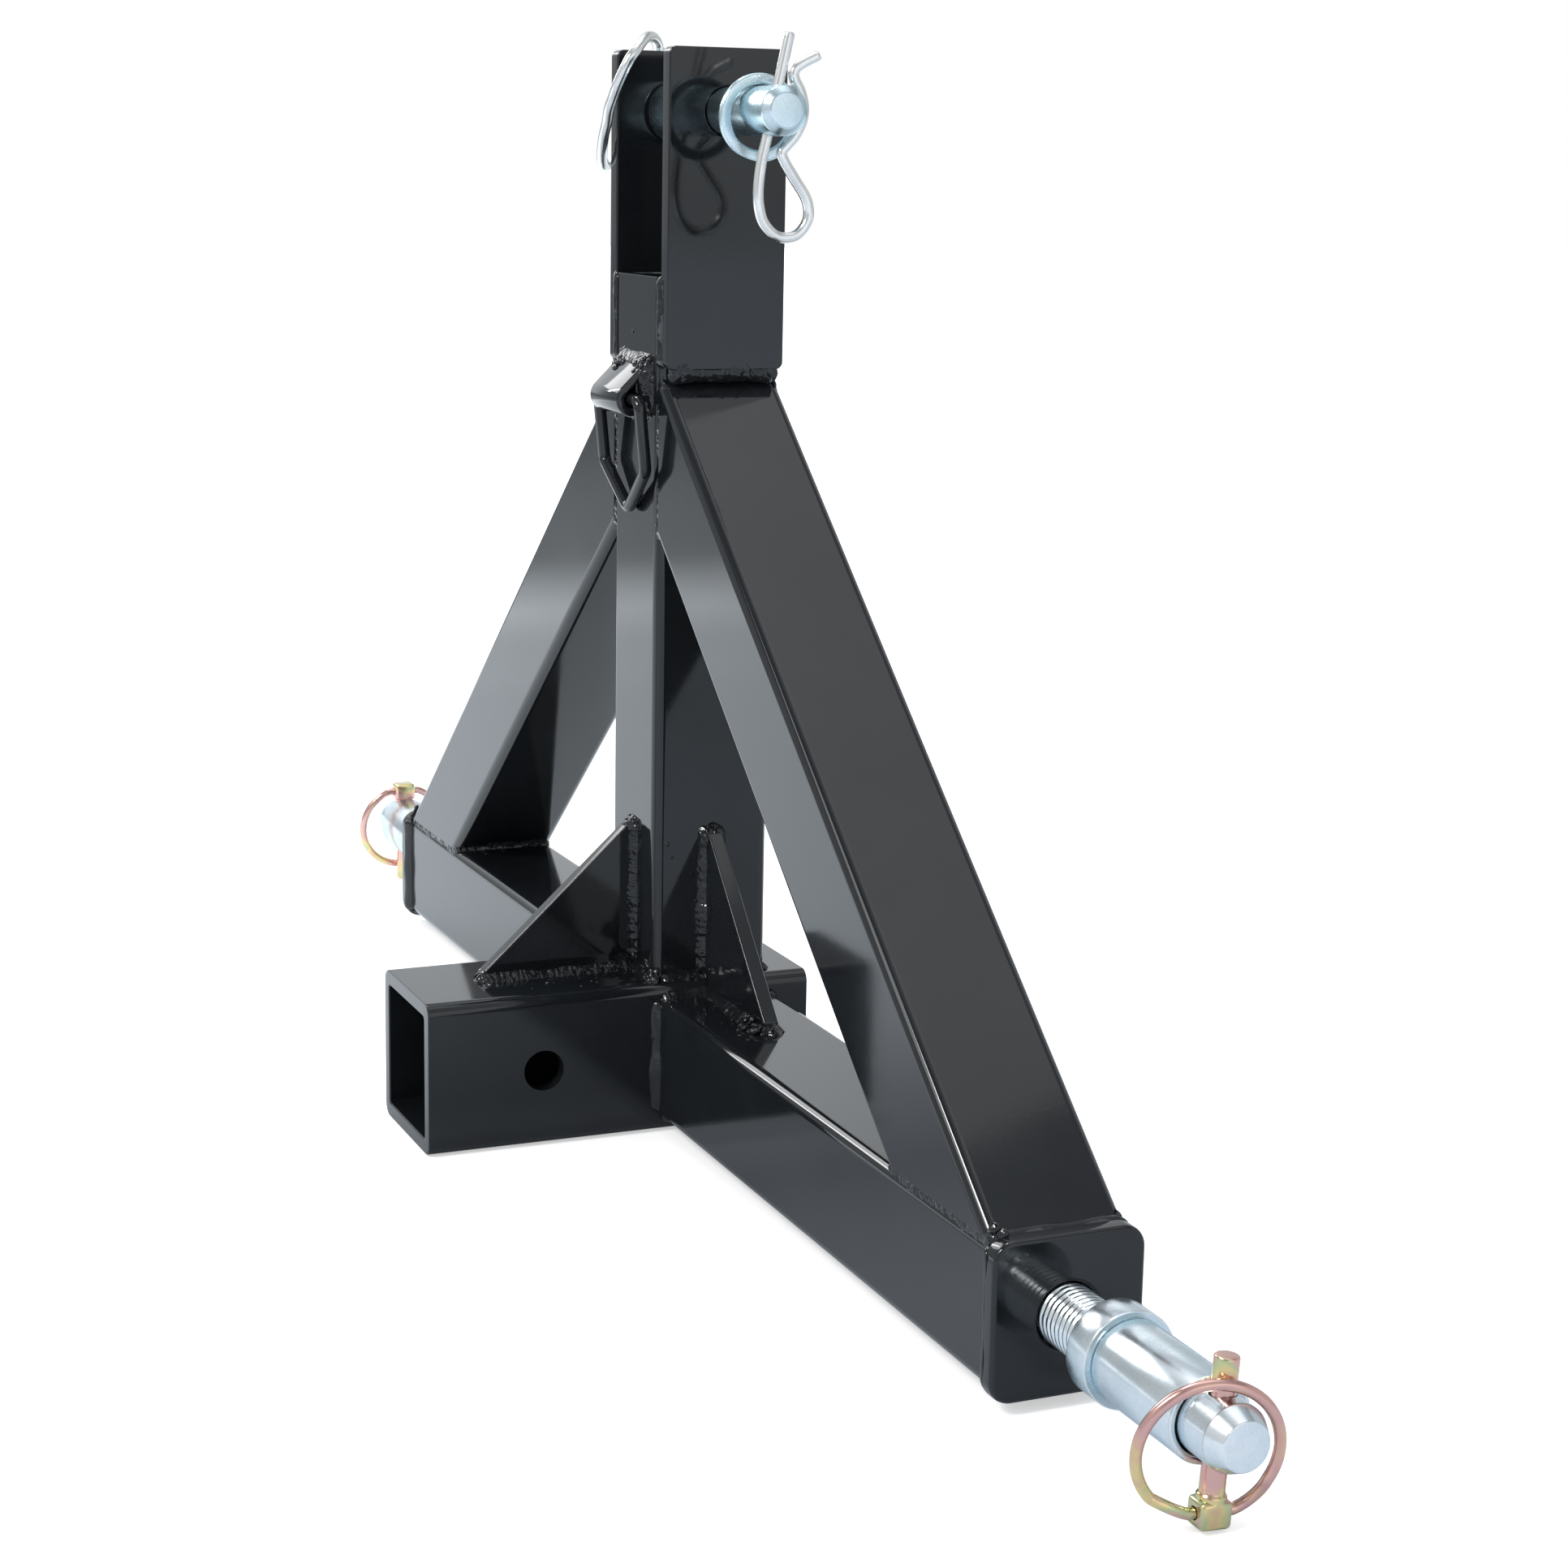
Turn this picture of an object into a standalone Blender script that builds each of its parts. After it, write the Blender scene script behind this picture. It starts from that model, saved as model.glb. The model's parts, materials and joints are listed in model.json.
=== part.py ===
"""Ball mount adapter for a tractor's three point hitch, modelled piece by piece.

Metres, +Z up. The cross tube lies along X, the receiver tube's open mouth looks along -Y, the
tractor stands on the +Y side, and z = 0 is the underside of the receiver tube.
"""
import math

import bmesh
import bpy
from mathutils import Matrix, Vector

# Fits
CLEARANCE = 0.0003
CUT_OVERRUN = 0.004
CORNER_STEPS = 5
TURN_STEPS = 32
WELD_DISTANCE = 0.00001

# Receiver tube, standing for a 2 inch ball mount shank
RECEIVER_SIZE = 0.0635
RECEIVER_WALL = 0.006
RECEIVER_CORNER = 0.005
RECEIVER_INNER_CORNER = 0.0018
RECEIVER_REAR_LENGTH = 0.1240
RECEIVER_FRONT_LENGTH = 0.0420
HITCH_PIN_HOLE = 0.0170
HITCH_PIN_SETBACK = 0.0490

# Frame tubes: cross tube, mast and braces share one section
TUBE_SIZE = 0.0508
TUBE_WALL = 0.0048
TUBE_CORNER = 0.0045
TUBE_INNER_CORNER = 0.0015
LINK_HALF_SPAN = 0.3410
BRACE_TOP_HEIGHT = 0.3120

# End plates of the cross tube
END_PLATE_SIZE = 0.0560
END_PLATE_THICKNESS = 0.0080
END_PLATE_CORNER = 0.0080
PLATE_EDGE_ROUND = 0.0010

# Clevis ears for the top link
EAR_THICKNESS = 0.0075
EAR_SETBACK = 0.0004
EAR_FOOT_GAP = 0.0037
EAR_LENGTH = 0.1251
EAR_LAP_ON_MAST = 0.0363
EAR_CORNER = 0.0030
TOP_PIN_SETBACK = 0.0245

# Gusset plates
GUSSET_THICKNESS = 0.0064
REAR_GUSSET_HEIGHT = 0.0610
REAR_GUSSET_REACH = 0.0655
SIDE_GUSSET_HEIGHT = 0.0680
SIDE_GUSSET_REACH = 0.0660
GUSSET_NOSE = 0.0040

# Lower link pins with their step-up sleeves and weld nuts
LINK_PIN = 0.0222
LINK_THREAD = 0.0216
LINK_THREAD_SHOWING = 0.0280
LINK_THREAD_PAST_NUT = 0.0030
LINK_COLLAR = 0.0330
LINK_COLLAR_LENGTH = 0.0120
LINK_COLLAR_EDGE = 0.0008
LINK_JOURNAL_LENGTH = 0.0685
LINK_END_TAPER = 0.0030
LINK_END_TAPER_LENGTH = 0.0064
SLEEVE_OUTER = 0.0286
SLEEVE_LENGTH = 0.0476
SLEEVE_EDGE = 0.0008
SLEEVE_FIT = 0.0004
NUT_ROOM = 0.0041
NUT_THICKNESS = 0.0180

# Lynch pins
LYNCH_SHANK = 0.0080
LYNCH_FIT = 0.0004
LYNCH_TIP_ROUND = 0.0012
LYNCH_LENGTH = 0.0540
LYNCH_HEAD_WIDTH = 0.0110
LYNCH_HEAD_DEPTH = 0.0096
LYNCH_HEAD_HEIGHT = 0.0090
LYNCH_HEAD_ROUND = 0.0016
LYNCH_NECK = 0.0096
LYNCH_NECK_HEIGHT = 0.0020
LYNCH_WIRE = 0.0038
LYNCH_RING_REACH = 0.0434
LYNCH_RING_RUN = 0.0080
LYNCH_RING_TILT = math.radians(8.5)
LYNCH_RING_LEAN = math.radians(-12.0)
LYNCH_RING_TURN = math.radians(11.4)
LYNCH_LEAN = math.radians(4.0)
LYNCH_HANG = 0.0108
LYNCH_RING_STEPS = 40

# Top link pin
TOP_PIN = 0.0190
TOP_PIN_NEAR_REACH = 0.0583
TOP_PIN_CHAMFER = 0.0029
TOP_PIN_FLANGE = 0.0280
TOP_PIN_FLANGE_THICKNESS = 0.0035
TOP_PIN_STUB_LENGTH = 0.0130
TOP_PIN_STUB_CHAMFER = 0.0015
BUSHING_OUTER = 0.0254
BUSHING_EDGE = 0.0006
TOP_PIN_PLAY = 0.0020
WASHER_OUTER = 0.0334
WASHER_BORE = 0.0245
WASHER_THICKNESS = 0.0032
WASHER_EDGE = 0.0006
WASHER_STANDOFF = 0.0296

# Pull handle in the head of the top pin
HANDLE_WIRE = 0.0044
HANDLE_FIT = 0.0005
HANDLE_LEAN = math.radians(45.1)
HANDLE_SWING = math.radians(41.5)

# Retaining clip through the tip of the top pin
CLIP_WIRE = 0.0042
CLIP_SETBACK = 0.0145
CLIP_LEAN = math.radians(12.5)
CLIP_FIT = 0.0004

# Chain ring on the mast and the strap that holds it
RING_WIRE = 0.0050
RING_HALF_WIDTH = 0.0240
RING_LEG = 0.0280
RING_DROP = 0.0460
RING_BEND = 0.0045
RING_BAR_DROP = 0.0090
RING_BAR_STANDOFF = 0.0076
STRAP_WIDTH = 0.0320
STRAP_THICKNESS = 0.0035
STRAP_FIT = 0.0007
STRAP_SLOPE = math.radians(45.0)

# Worked out from the sizes above
RECEIVER_HALF = RECEIVER_SIZE / 2
TUBE_HALF = TUBE_SIZE / 2
AXIS_HEIGHT = RECEIVER_HALF
CROSS_TOP = AXIS_HEIGHT + TUBE_HALF
PLATE_INNER = LINK_HALF_SPAN - END_PLATE_THICKNESS
EAR_FOOT_HEIGHT = BRACE_TOP_HEIGHT + EAR_FOOT_GAP
EAR_TOP_HEIGHT = EAR_FOOT_HEIGHT + EAR_LENGTH
MAST_TOP_HEIGHT = EAR_FOOT_HEIGHT + EAR_LAP_ON_MAST
TOP_PIN_HEIGHT = EAR_TOP_HEIGHT - TOP_PIN_SETBACK
RING_BAR_HEIGHT = BRACE_TOP_HEIGHT - RING_BAR_DROP
EAR_INNER = TUBE_HALF + CLEARANCE
EAR_OUTER = EAR_INNER + EAR_THICKNESS
MAST_REAR = -TUBE_HALF
EAR_WIDTH = TUBE_SIZE - 2 * EAR_SETBACK
NUT_ACROSS_FLATS = TUBE_SIZE - 2 * (TUBE_WALL + NUT_ROOM)

# Frames whose local Z runs along a world axis: a plate's outline is drawn in the other two
ALONG_X = Matrix(((0, 0, 1), (1, 0, 0), (0, 1, 0))).to_4x4()
ALONG_Y = Matrix(((0, 1, 0), (0, 0, 1), (1, 0, 0))).to_4x4()
ALONG_Z = Matrix.Identity(4)


def clear_scene():
    for item in list(bpy.data.objects):
        bpy.data.objects.remove(item, do_unlink=True)


def new_collection(name):
    found = bpy.data.collections.new(name)
    bpy.context.scene.collection.children.link(found)
    return found


def new_material(name, colour, roughness, metallic):
    made = bpy.data.materials.new(name)
    made.use_nodes = True
    shader = made.node_tree.nodes["Principled BSDF"]
    shader.inputs["Base Color"].default_value = (*colour, 1.0)
    shader.inputs["Roughness"].default_value = roughness
    shader.inputs["Metallic"].default_value = metallic
    return made


clear_scene()
PARTS = new_collection("three_point_hitch_adapter")
CUTTERS = new_collection("cutters")
PAINT = new_material("gloss_black_paint", (0.012, 0.014, 0.017), 0.18, 0.0)
ZINC = new_material("zinc_plate", (0.60, 0.66, 0.70), 0.28, 1.0)
WIRE = new_material("bright_wire", (0.72, 0.72, 0.70), 0.20, 1.0)
YELLOW = new_material("yellow_zinc_plate", (0.66, 0.50, 0.36), 0.30, 1.0)


# Outlines
def arc(centre, radius, start, end, steps):
    """Points along an arc in the outline's own plane."""
    points = []
    for index in range(steps + 1):
        angle = start + (end - start) * index / steps
        points.append((centre[0] + radius * math.cos(angle), centre[1] + radius * math.sin(angle)))
    return points


def rounded_rectangle(width, height, radius):
    points = []
    corners = ((1, 1), (-1, 1), (-1, -1), (1, -1))
    for index, (side_a, side_b) in enumerate(corners):
        centre = (side_a * (width / 2 - radius), side_b * (height / 2 - radius))
        start = index * math.pi / 2
        points += arc(centre, radius, start, start + math.pi / 2, CORNER_STEPS)
    return points


def circle(diameter, steps=TURN_STEPS):
    return arc((0, 0), diameter / 2, 0, math.tau * (steps - 1) / steps, steps - 1)


def shifted(points, along_a, along_b):
    return [(a + along_a, b + along_b) for a, b in points]


def filleted(corners, radius, steps):
    """A closed outline with every corner rounded to one radius."""
    points = []
    count = len(corners)
    for index, corner in enumerate(corners):
        here = Vector(corner)
        back = (Vector(corners[index - 1]) - here).normalized()
        ahead = (Vector(corners[(index + 1) % count]) - here).normalized()
        half_angle = back.angle(ahead) / 2
        centre = here + (back + ahead).normalized() * radius / math.sin(half_angle)
        first = (here + back * radius / math.tan(half_angle) - centre).normalized()
        last = (here + ahead * radius / math.tan(half_angle) - centre).normalized()
        for step in range(steps + 1):
            points.append(tuple(centre + first.slerp(last, step / steps) * radius))
    return points


def smooth_loop(points, steps, closed):
    """A curve through the given points, rounder than the straight runs between them."""
    result = []
    count = len(points)
    spans = count if closed else count - 1
    for index in range(spans):
        if closed:
            p0, p1, p2, p3 = (Vector(points[(index + offset) % count]) for offset in (-1, 0, 1, 2))
        else:
            picks = (max(index - 1, 0), index, index + 1, min(index + 2, count - 1))
            p0, p1, p2, p3 = (Vector(points[pick]) for pick in picks)
        for step in range(steps):
            t = step / steps
            run = (p2 - p0) * t
            bend = (2 * p0 - 5 * p1 + 4 * p2 - p3) * t ** 2
            twist = (3 * p1 - p0 - 3 * p2 + p3) * t ** 3
            result.append(tuple(p1 + (run + bend + twist) / 2))
    if not closed:
        result.append(tuple(points[-1]))
    return result


# Makers of solids
def finish_mesh(item, material, collection, smooth):
    item.data.materials.clear()
    item.data.materials.append(material)
    if smooth:
        item.data.shade_smooth()
        item.data.set_sharp_from_angle(angle=math.radians(35))
    collection.objects.link(item)
    return item


def curve_to_mesh(name, curve, placing):
    """The evaluated curve as one welded mesh, with the curve itself removed."""
    guide = bpy.data.objects.new(name + "_guide", curve)
    bpy.context.scene.collection.objects.link(guide)
    graph = bpy.context.evaluated_depsgraph_get()
    mesh = bpy.data.meshes.new_from_object(guide.evaluated_get(graph))
    bpy.data.objects.remove(guide, do_unlink=True)
    work = bmesh.new()
    work.from_mesh(mesh)
    bmesh.ops.remove_doubles(work, verts=work.verts, dist=WELD_DISTANCE)
    bmesh.ops.recalc_face_normals(work, faces=work.faces)
    work.to_mesh(mesh)
    work.free()
    item = bpy.data.objects.new(name, mesh)
    item.matrix_world = placing
    return item


def plate(name, outlines, thickness, placing, material, collection=PARTS, smooth=True):
    """A flat outline, with any holes as further outlines, given a thickness along local Z."""
    curve = bpy.data.curves.new(name, "CURVE")
    curve.dimensions = "2D"
    curve.fill_mode = "BOTH"
    curve.extrude = thickness / 2
    for points in outlines:
        spline = curve.splines.new("POLY")
        spline.points.add(len(points) - 1)
        for target, (a, b) in zip(spline.points, points):
            target.co = (a, b, 0, 1)
        spline.use_cyclic_u = True
    item = curve_to_mesh(name, curve, placing)
    return finish_mesh(item, material, collection, smooth)


def square_tube(name, size, wall, corner, inner_corner, length, placing, collection=PARTS):
    bore = size - 2 * wall
    outlines = [rounded_rectangle(size, size, corner), rounded_rectangle(bore, bore, inner_corner)]
    return plate(name, outlines, length, placing, PAINT, collection)


def frame_tube(name, length, placing):
    return square_tube(name, TUBE_SIZE, TUBE_WALL, TUBE_CORNER, TUBE_INNER_CORNER, length, placing)


def turned(name, profile, placing, material, closed=False, steps=TURN_STEPS):
    """A profile at +X, given top to bottom down its outer side, turned about local Z."""
    mesh = bpy.data.meshes.new(name)
    points = [(radius, 0, height) for radius, height in profile]
    count = len(points)
    edges = [(index, index + 1) for index in range(count - 1)]
    if closed:
        edges.append((count - 1, 0))
    mesh.from_pydata(points, edges, [])
    item = bpy.data.objects.new(name, mesh)
    item.matrix_world = placing
    screw = item.modifiers.new("turn", "SCREW")
    screw.angle = math.tau
    screw.steps = steps
    screw.render_steps = steps
    screw.use_merge_vertices = True
    screw.merge_threshold = WELD_DISTANCE
    screw.use_smooth_shade = True
    item.data.materials.append(material)
    PARTS.objects.link(item)
    return item


def ring_profile(outer, bore, length, edge):
    """Section of a sleeve or washer about its own middle, with its four edges broken."""
    top = length / 2
    outside = outer / 2
    inside = bore / 2
    return [
        (outside - edge, top), (outside, top - edge), (outside, edge - top), (outside - edge, -top),
        (inside + edge, -top), (inside, edge - top), (inside, top - edge), (inside + edge, top),
    ]


def wire(name, points, diameter, placing, material, closed):
    curve = bpy.data.curves.new(name, "CURVE")
    curve.dimensions = "3D"
    curve.bevel_depth = diameter / 2
    curve.bevel_resolution = 2
    curve.use_fill_caps = not closed
    spline = curve.splines.new("POLY")
    spline.points.add(len(points) - 1)
    for target, point in zip(spline.points, points):
        target.co = (*point, 1)
    spline.use_cyclic_u = closed
    item = curve_to_mesh(name, curve, placing)
    return finish_mesh(item, material, PARTS, True)


def as_cutter(item):
    item.hide_render = True
    item.display_type = "WIRE"
    return item


def drill(name, diameter, length, placing):
    """A round cutter along local Z, about its own middle."""
    mesh = bpy.data.meshes.new(name)
    work = bmesh.new()
    bmesh.ops.create_cone(work, cap_ends=True, segments=TURN_STEPS, radius1=diameter / 2,
                          radius2=diameter / 2, depth=length)
    work.to_mesh(mesh)
    work.free()
    item = bpy.data.objects.new(name, mesh)
    item.matrix_world = placing
    CUTTERS.objects.link(item)
    return as_cutter(item)


def block(name, size, placing, rounding=0):
    """A box about its own middle in the cutters' collection, with its edges rounded if asked."""
    mesh = bpy.data.meshes.new(name)
    work = bmesh.new()
    bmesh.ops.create_cube(work, size=1)
    bmesh.ops.scale(work, vec=size, verts=work.verts)
    if rounding:
        bmesh.ops.bevel(work, geom=work.edges, offset=rounding, segments=2, profile=0.5, affect="EDGES")
    work.to_mesh(mesh)
    work.free()
    item = bpy.data.objects.new(name, mesh)
    item.matrix_world = placing
    CUTTERS.objects.link(item)
    return as_cutter(item)


def boolean(item, cutter, operation):
    modifier = item.modifiers.new(operation.lower(), "BOOLEAN")
    modifier.operation = operation
    modifier.solver = "EXACT"
    modifier.object = cutter


def round_edges(item, width):
    bevel = item.modifiers.new("edges", "BEVEL")
    bevel.width = width
    bevel.segments = 2
    bevel.limit_method = "ANGLE"
    bevel.angle_limit = math.radians(50)


def at(x, y, z):
    return Matrix.Translation((x, y, z))


# Welded frame
def make_receiver():
    length = RECEIVER_REAR_LENGTH + RECEIVER_FRONT_LENGTH
    middle = (RECEIVER_FRONT_LENGTH - RECEIVER_REAR_LENGTH) / 2
    tube = square_tube("receiver_tube", RECEIVER_SIZE, RECEIVER_WALL, RECEIVER_CORNER,
                       RECEIVER_INNER_CORNER, length, at(0, middle, RECEIVER_HALF) @ ALONG_Y)
    hole_place = at(0, HITCH_PIN_SETBACK - RECEIVER_REAR_LENGTH, RECEIVER_HALF) @ ALONG_X
    hole = drill("hitch_pin_drill", HITCH_PIN_HOLE, RECEIVER_SIZE + 2 * CUT_OVERRUN, hole_place)
    boolean(tube, hole, "DIFFERENCE")


def make_cross_tube(side, word):
    inner = RECEIVER_HALF + CLEARANCE
    outer = PLATE_INNER - CLEARANCE
    frame_tube("cross_tube_" + word, outer - inner, at(side * (inner + outer) / 2, 0, AXIS_HEIGHT) @ ALONG_X)


def make_end_plate(side, word):
    middle = side * (PLATE_INNER + END_PLATE_THICKNESS / 2)
    outlines = [rounded_rectangle(END_PLATE_SIZE, END_PLATE_SIZE, END_PLATE_CORNER),
                circle(LINK_THREAD + 2 * CLEARANCE)]
    item = plate("end_plate_" + word, outlines, END_PLATE_THICKNESS, at(middle, 0, AXIS_HEIGHT) @ ALONG_X, PAINT)
    round_edges(item, PLATE_EDGE_ROUND)


def make_pin_nut(side, word):
    middle = side * (PLATE_INNER - CLEARANCE - NUT_THICKNESS / 2)
    across_corners = NUT_ACROSS_FLATS / math.cos(math.pi / 6)
    outlines = [circle(across_corners, 6), circle(LINK_THREAD + 2 * CLEARANCE)]
    plate("pin_nut_" + word, outlines, NUT_THICKNESS, at(middle, 0, AXIS_HEIGHT) @ ALONG_X, ZINC)


def make_mast():
    foot = RECEIVER_SIZE + CLEARANCE
    frame_tube("mast_tube", MAST_TOP_HEIGHT - foot, at(0, 0, (MAST_TOP_HEIGHT + foot) / 2) @ ALONG_Z)


def make_brace(side, word):
    """A tube from the outer end of the cross tube up to the mast, cut flat at both ends."""
    top = Vector((TUBE_HALF + CLEARANCE, 0, BRACE_TOP_HEIGHT))
    foot = Vector((PLATE_INNER - CLEARANCE, 0, CROSS_TOP + CLEARANCE))
    along = top - foot
    slope = math.atan2(along.z, -along.x)
    outward = Vector((math.sin(slope), 0, math.cos(slope)))
    middle = (top + foot) / 2 - outward * TUBE_HALF
    turn = Matrix.Rotation(side * (slope - math.pi / 2), 4, "Y")
    item = frame_tube("brace_" + word, along.length + 4 * TUBE_SIZE, at(side * middle.x, 0, middle.z) @ turn)
    reach = LINK_HALF_SPAN + TUBE_SIZE - top.x
    rise = MAST_TOP_HEIGHT + TUBE_SIZE - foot.z
    place = at(side * (top.x + reach / 2), 0, foot.z + rise / 2)
    boolean(item, block("brace_trim_" + word, (reach, 2 * TUBE_SIZE, rise), place), "INTERSECT")


def make_ear(side, word):
    middle = (EAR_TOP_HEIGHT + EAR_FOOT_HEIGHT) / 2
    hole = shifted(circle(TOP_PIN + 2 * CLEARANCE), 0, TOP_PIN_HEIGHT - middle)
    outlines = [rounded_rectangle(EAR_WIDTH, EAR_LENGTH, EAR_CORNER), hole]
    place = at(side * (EAR_INNER + EAR_THICKNESS / 2), 0, middle) @ ALONG_X
    plate("clevis_ear_" + word, outlines, EAR_THICKNESS, place, PAINT)


def gusset_outline(reach, height):
    """A right triangle with a blunt nose at both far corners; the right angle is at the origin."""
    return [(0, 0), (reach, 0), (reach, GUSSET_NOSE), (GUSSET_NOSE, height), (0, height)]


def make_rear_gusset():
    outline = [(-a, b) for a, b in gusset_outline(REAR_GUSSET_REACH, REAR_GUSSET_HEIGHT)]
    place = at(0, MAST_REAR - CLEARANCE, RECEIVER_SIZE + CLEARANCE) @ ALONG_X
    plate("rear_gusset", [outline], GUSSET_THICKNESS, place, PAINT)


def make_side_gusset(side, word):
    """Stands on the cross tube against the mast, with its inner edge clear of the receiver tube."""
    outline = []
    step = RECEIVER_HALF + CLEARANCE - TUBE_HALF
    drop = RECEIVER_SIZE - CROSS_TOP
    corners = gusset_outline(SIDE_GUSSET_REACH, SIDE_GUSSET_HEIGHT)
    notch = [(0, drop + CLEARANCE), (step + CLEARANCE, drop + CLEARANCE), (step + CLEARANCE, 0)]
    for a, b in notch + corners[1:]:
        outline.append((b, side * a))
    place = at(side * (TUBE_HALF + CLEARANCE), 0, CROSS_TOP + CLEARANCE) @ ALONG_Y
    plate("side_gusset_" + word, [outline], GUSSET_THICKNESS, place, PAINT)


# Chain ring
def ring_bar_place():
    return at(0, MAST_REAR - RING_BAR_STANDOFF, RING_BAR_HEIGHT)


def make_ring_strap():
    """A bent strap whose slanted upper leg and flat lower leg end on the rear face of the mast."""
    inner = RING_WIRE / 2 + STRAP_FIT
    outer = inner + STRAP_THICKNESS
    seat = RING_BAR_STANDOFF - CLEARANCE
    start = math.pi / 2 + STRAP_SLOPE
    end = 3 * math.pi / 2

    def leg_top(radius):
        along = (seat - radius * math.cos(start)) / math.sin(start)
        return (seat, radius * math.sin(start) - along * math.cos(start))

    outline = [leg_top(outer)] + arc((0, 0), outer, start, end, 10) + [(seat, -outer)]
    outline += [(seat, -inner)] + arc((0, 0), inner, end, start, 8) + [leg_top(inner)]
    plate("ring_strap", [outline], STRAP_WIDTH, ring_bar_place() @ ALONG_X, PAINT)


def make_d_ring():
    """Its origin is on the bar that the strap holds; it hangs with its point against the mast."""
    point_gap = RING_WIRE / 2 + CLEARANCE
    lean = math.atan2(RING_BAR_STANDOFF - point_gap, RING_DROP)
    corners = [(RING_HALF_WIDTH, 0), (-RING_HALF_WIDTH, 0), (-RING_HALF_WIDTH, -RING_LEG),
               (0, -RING_DROP), (RING_HALF_WIDTH, -RING_LEG)]
    points = [(a, 0, b) for a, b in filleted(corners, RING_BEND, 4)]
    place = ring_bar_place() @ Matrix.Rotation(lean, 4, "X")
    wire("d_ring", points, RING_WIRE, place, PAINT, True)


# Lower link pins
COLLAR_INNER = LINK_HALF_SPAN + LINK_THREAD_SHOWING
COLLAR_OUTER = COLLAR_INNER + LINK_COLLAR_LENGTH
LINK_END = COLLAR_OUTER + LINK_JOURNAL_LENGTH
LYNCH_PLACE = COLLAR_OUTER + CLEARANCE + SLEEVE_LENGTH + CLEARANCE + LYNCH_HEAD_DEPTH / 2


def side_axis(side):
    """Local Z runs outwards along the link pins' axis from the middle of the part."""
    return at(0, 0, AXIS_HEIGHT) @ Matrix.Rotation(side * math.pi / 2, 4, "Y")


def lynch_frame(side):
    """Local Z points from the lynch pin's tip to its head: down on the right, up on the left."""
    lean = Matrix.Rotation(LYNCH_LEAN if side > 0 else 0, 4, "X")
    turn = Matrix.Rotation(math.pi if side > 0 else 0, 4, "Y")
    return at(side * LYNCH_PLACE, 0, AXIS_HEIGHT) @ lean.inverted() @ turn


def make_lower_pin(side, word):
    start = PLATE_INNER - CLEARANCE - NUT_THICKNESS - LINK_THREAD_PAST_NUT
    thread = LINK_THREAD / 2
    collar = LINK_COLLAR / 2
    journal = LINK_PIN / 2
    edge = LINK_COLLAR_EDGE
    profile = [
        (0, LINK_END), (journal - LINK_END_TAPER, LINK_END), (journal, LINK_END - LINK_END_TAPER_LENGTH),
        (journal, COLLAR_OUTER),
        (collar - edge, COLLAR_OUTER), (collar, COLLAR_OUTER - edge), (collar, COLLAR_INNER + edge),
        (collar - edge, COLLAR_INNER), (thread, COLLAR_INNER), (thread, start + edge),
        (thread - edge, start), (0, start),
    ]
    item = turned("lower_pin_" + word, profile, side_axis(side), ZINC)
    length = LINK_PIN + 2 * CUT_OVERRUN
    hole = drill("lynch_drill_" + word, LYNCH_SHANK + 2 * LYNCH_FIT, length, lynch_frame(side))
    boolean(item, hole, "DIFFERENCE")


def make_lower_bush(side, word):
    middle = COLLAR_OUTER + CLEARANCE + SLEEVE_LENGTH / 2
    profile = ring_profile(SLEEVE_OUTER, LINK_PIN + 2 * SLEEVE_FIT, SLEEVE_LENGTH, SLEEVE_EDGE)
    turned("lower_bush_" + word, profile, side_axis(side) @ at(0, 0, middle), ZINC, closed=True)


def head_distance(side):
    """Middle of the lynch pin's head from the link pin's axis: hanging on the right, seated on the left."""
    seated = LINK_PIN / 2 + CLEARANCE + LYNCH_NECK_HEIGHT + LYNCH_HEAD_HEIGHT / 2
    return seated + (LYNCH_HANG - LYNCH_NECK_HEIGHT if side > 0 else 0)


def make_lynch_pin(side, word):
    head = head_distance(side)
    head_top = head + LYNCH_HEAD_HEIGHT / 2
    neck_end = head - LYNCH_HEAD_HEIGHT / 2
    shank = LYNCH_SHANK / 2
    neck = LYNCH_NECK / 2
    tip = head_top - LYNCH_LENGTH
    inside = head - LYNCH_HEAD_HEIGHT / 4
    profile = [
        (0, inside), (neck, inside), (neck, neck_end - LYNCH_NECK_HEIGHT / 2),
        (shank, neck_end - LYNCH_NECK_HEIGHT), (shank, tip + LYNCH_TIP_ROUND),
        (shank - LYNCH_TIP_ROUND, tip), (0, tip),
    ]
    item = turned("lynch_pin_" + word, profile, lynch_frame(side), YELLOW, steps=24)
    head_place = lynch_frame(side) @ at(0, 0, head)
    size = (LYNCH_HEAD_DEPTH, LYNCH_HEAD_WIDTH, LYNCH_HEAD_HEIGHT)
    boolean(item, block("lynch_head_" + word, size, head_place, LYNCH_HEAD_ROUND), "UNION")
    length = LYNCH_HEAD_WIDTH + 2 * CUT_OVERRUN
    along = head_place @ Matrix.Rotation(math.pi / 2, 4, "X")
    boolean(item, drill("lynch_eye_" + word, LYNCH_WIRE + 2 * CLEARANCE, length, along), "DIFFERENCE")


def make_lynch_ring(side, word):
    """A wire ring with a short straight run through the head. The right one hangs askew from there."""
    radius = (LYNCH_RING_REACH ** 2 + LYNCH_RING_RUN ** 2) / (2 * LYNCH_RING_REACH)
    centre = LYNCH_RING_REACH - radius
    start = math.asin(-centre / radius)
    points = []
    for a, b in arc((0, centre), radius, start, math.pi - start, LYNCH_RING_STEPS):
        askew = min(b / LYNCH_RING_RUN, 1) if side > 0 else 0
        lean = Matrix.Rotation(LYNCH_RING_LEAN * askew, 3, "X")
        turn = Matrix.Rotation(LYNCH_RING_TURN * askew, 3, "Z")
        points.append(turn @ lean @ Vector((0, a, -b)))
    tilt = Matrix.Rotation(LYNCH_RING_TILT, 4, "Y")
    place = lynch_frame(side) @ at(0, 0, head_distance(side)) @ tilt
    wire("lynch_ring_" + word, points, LYNCH_WIRE, place, YELLOW, True)


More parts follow.
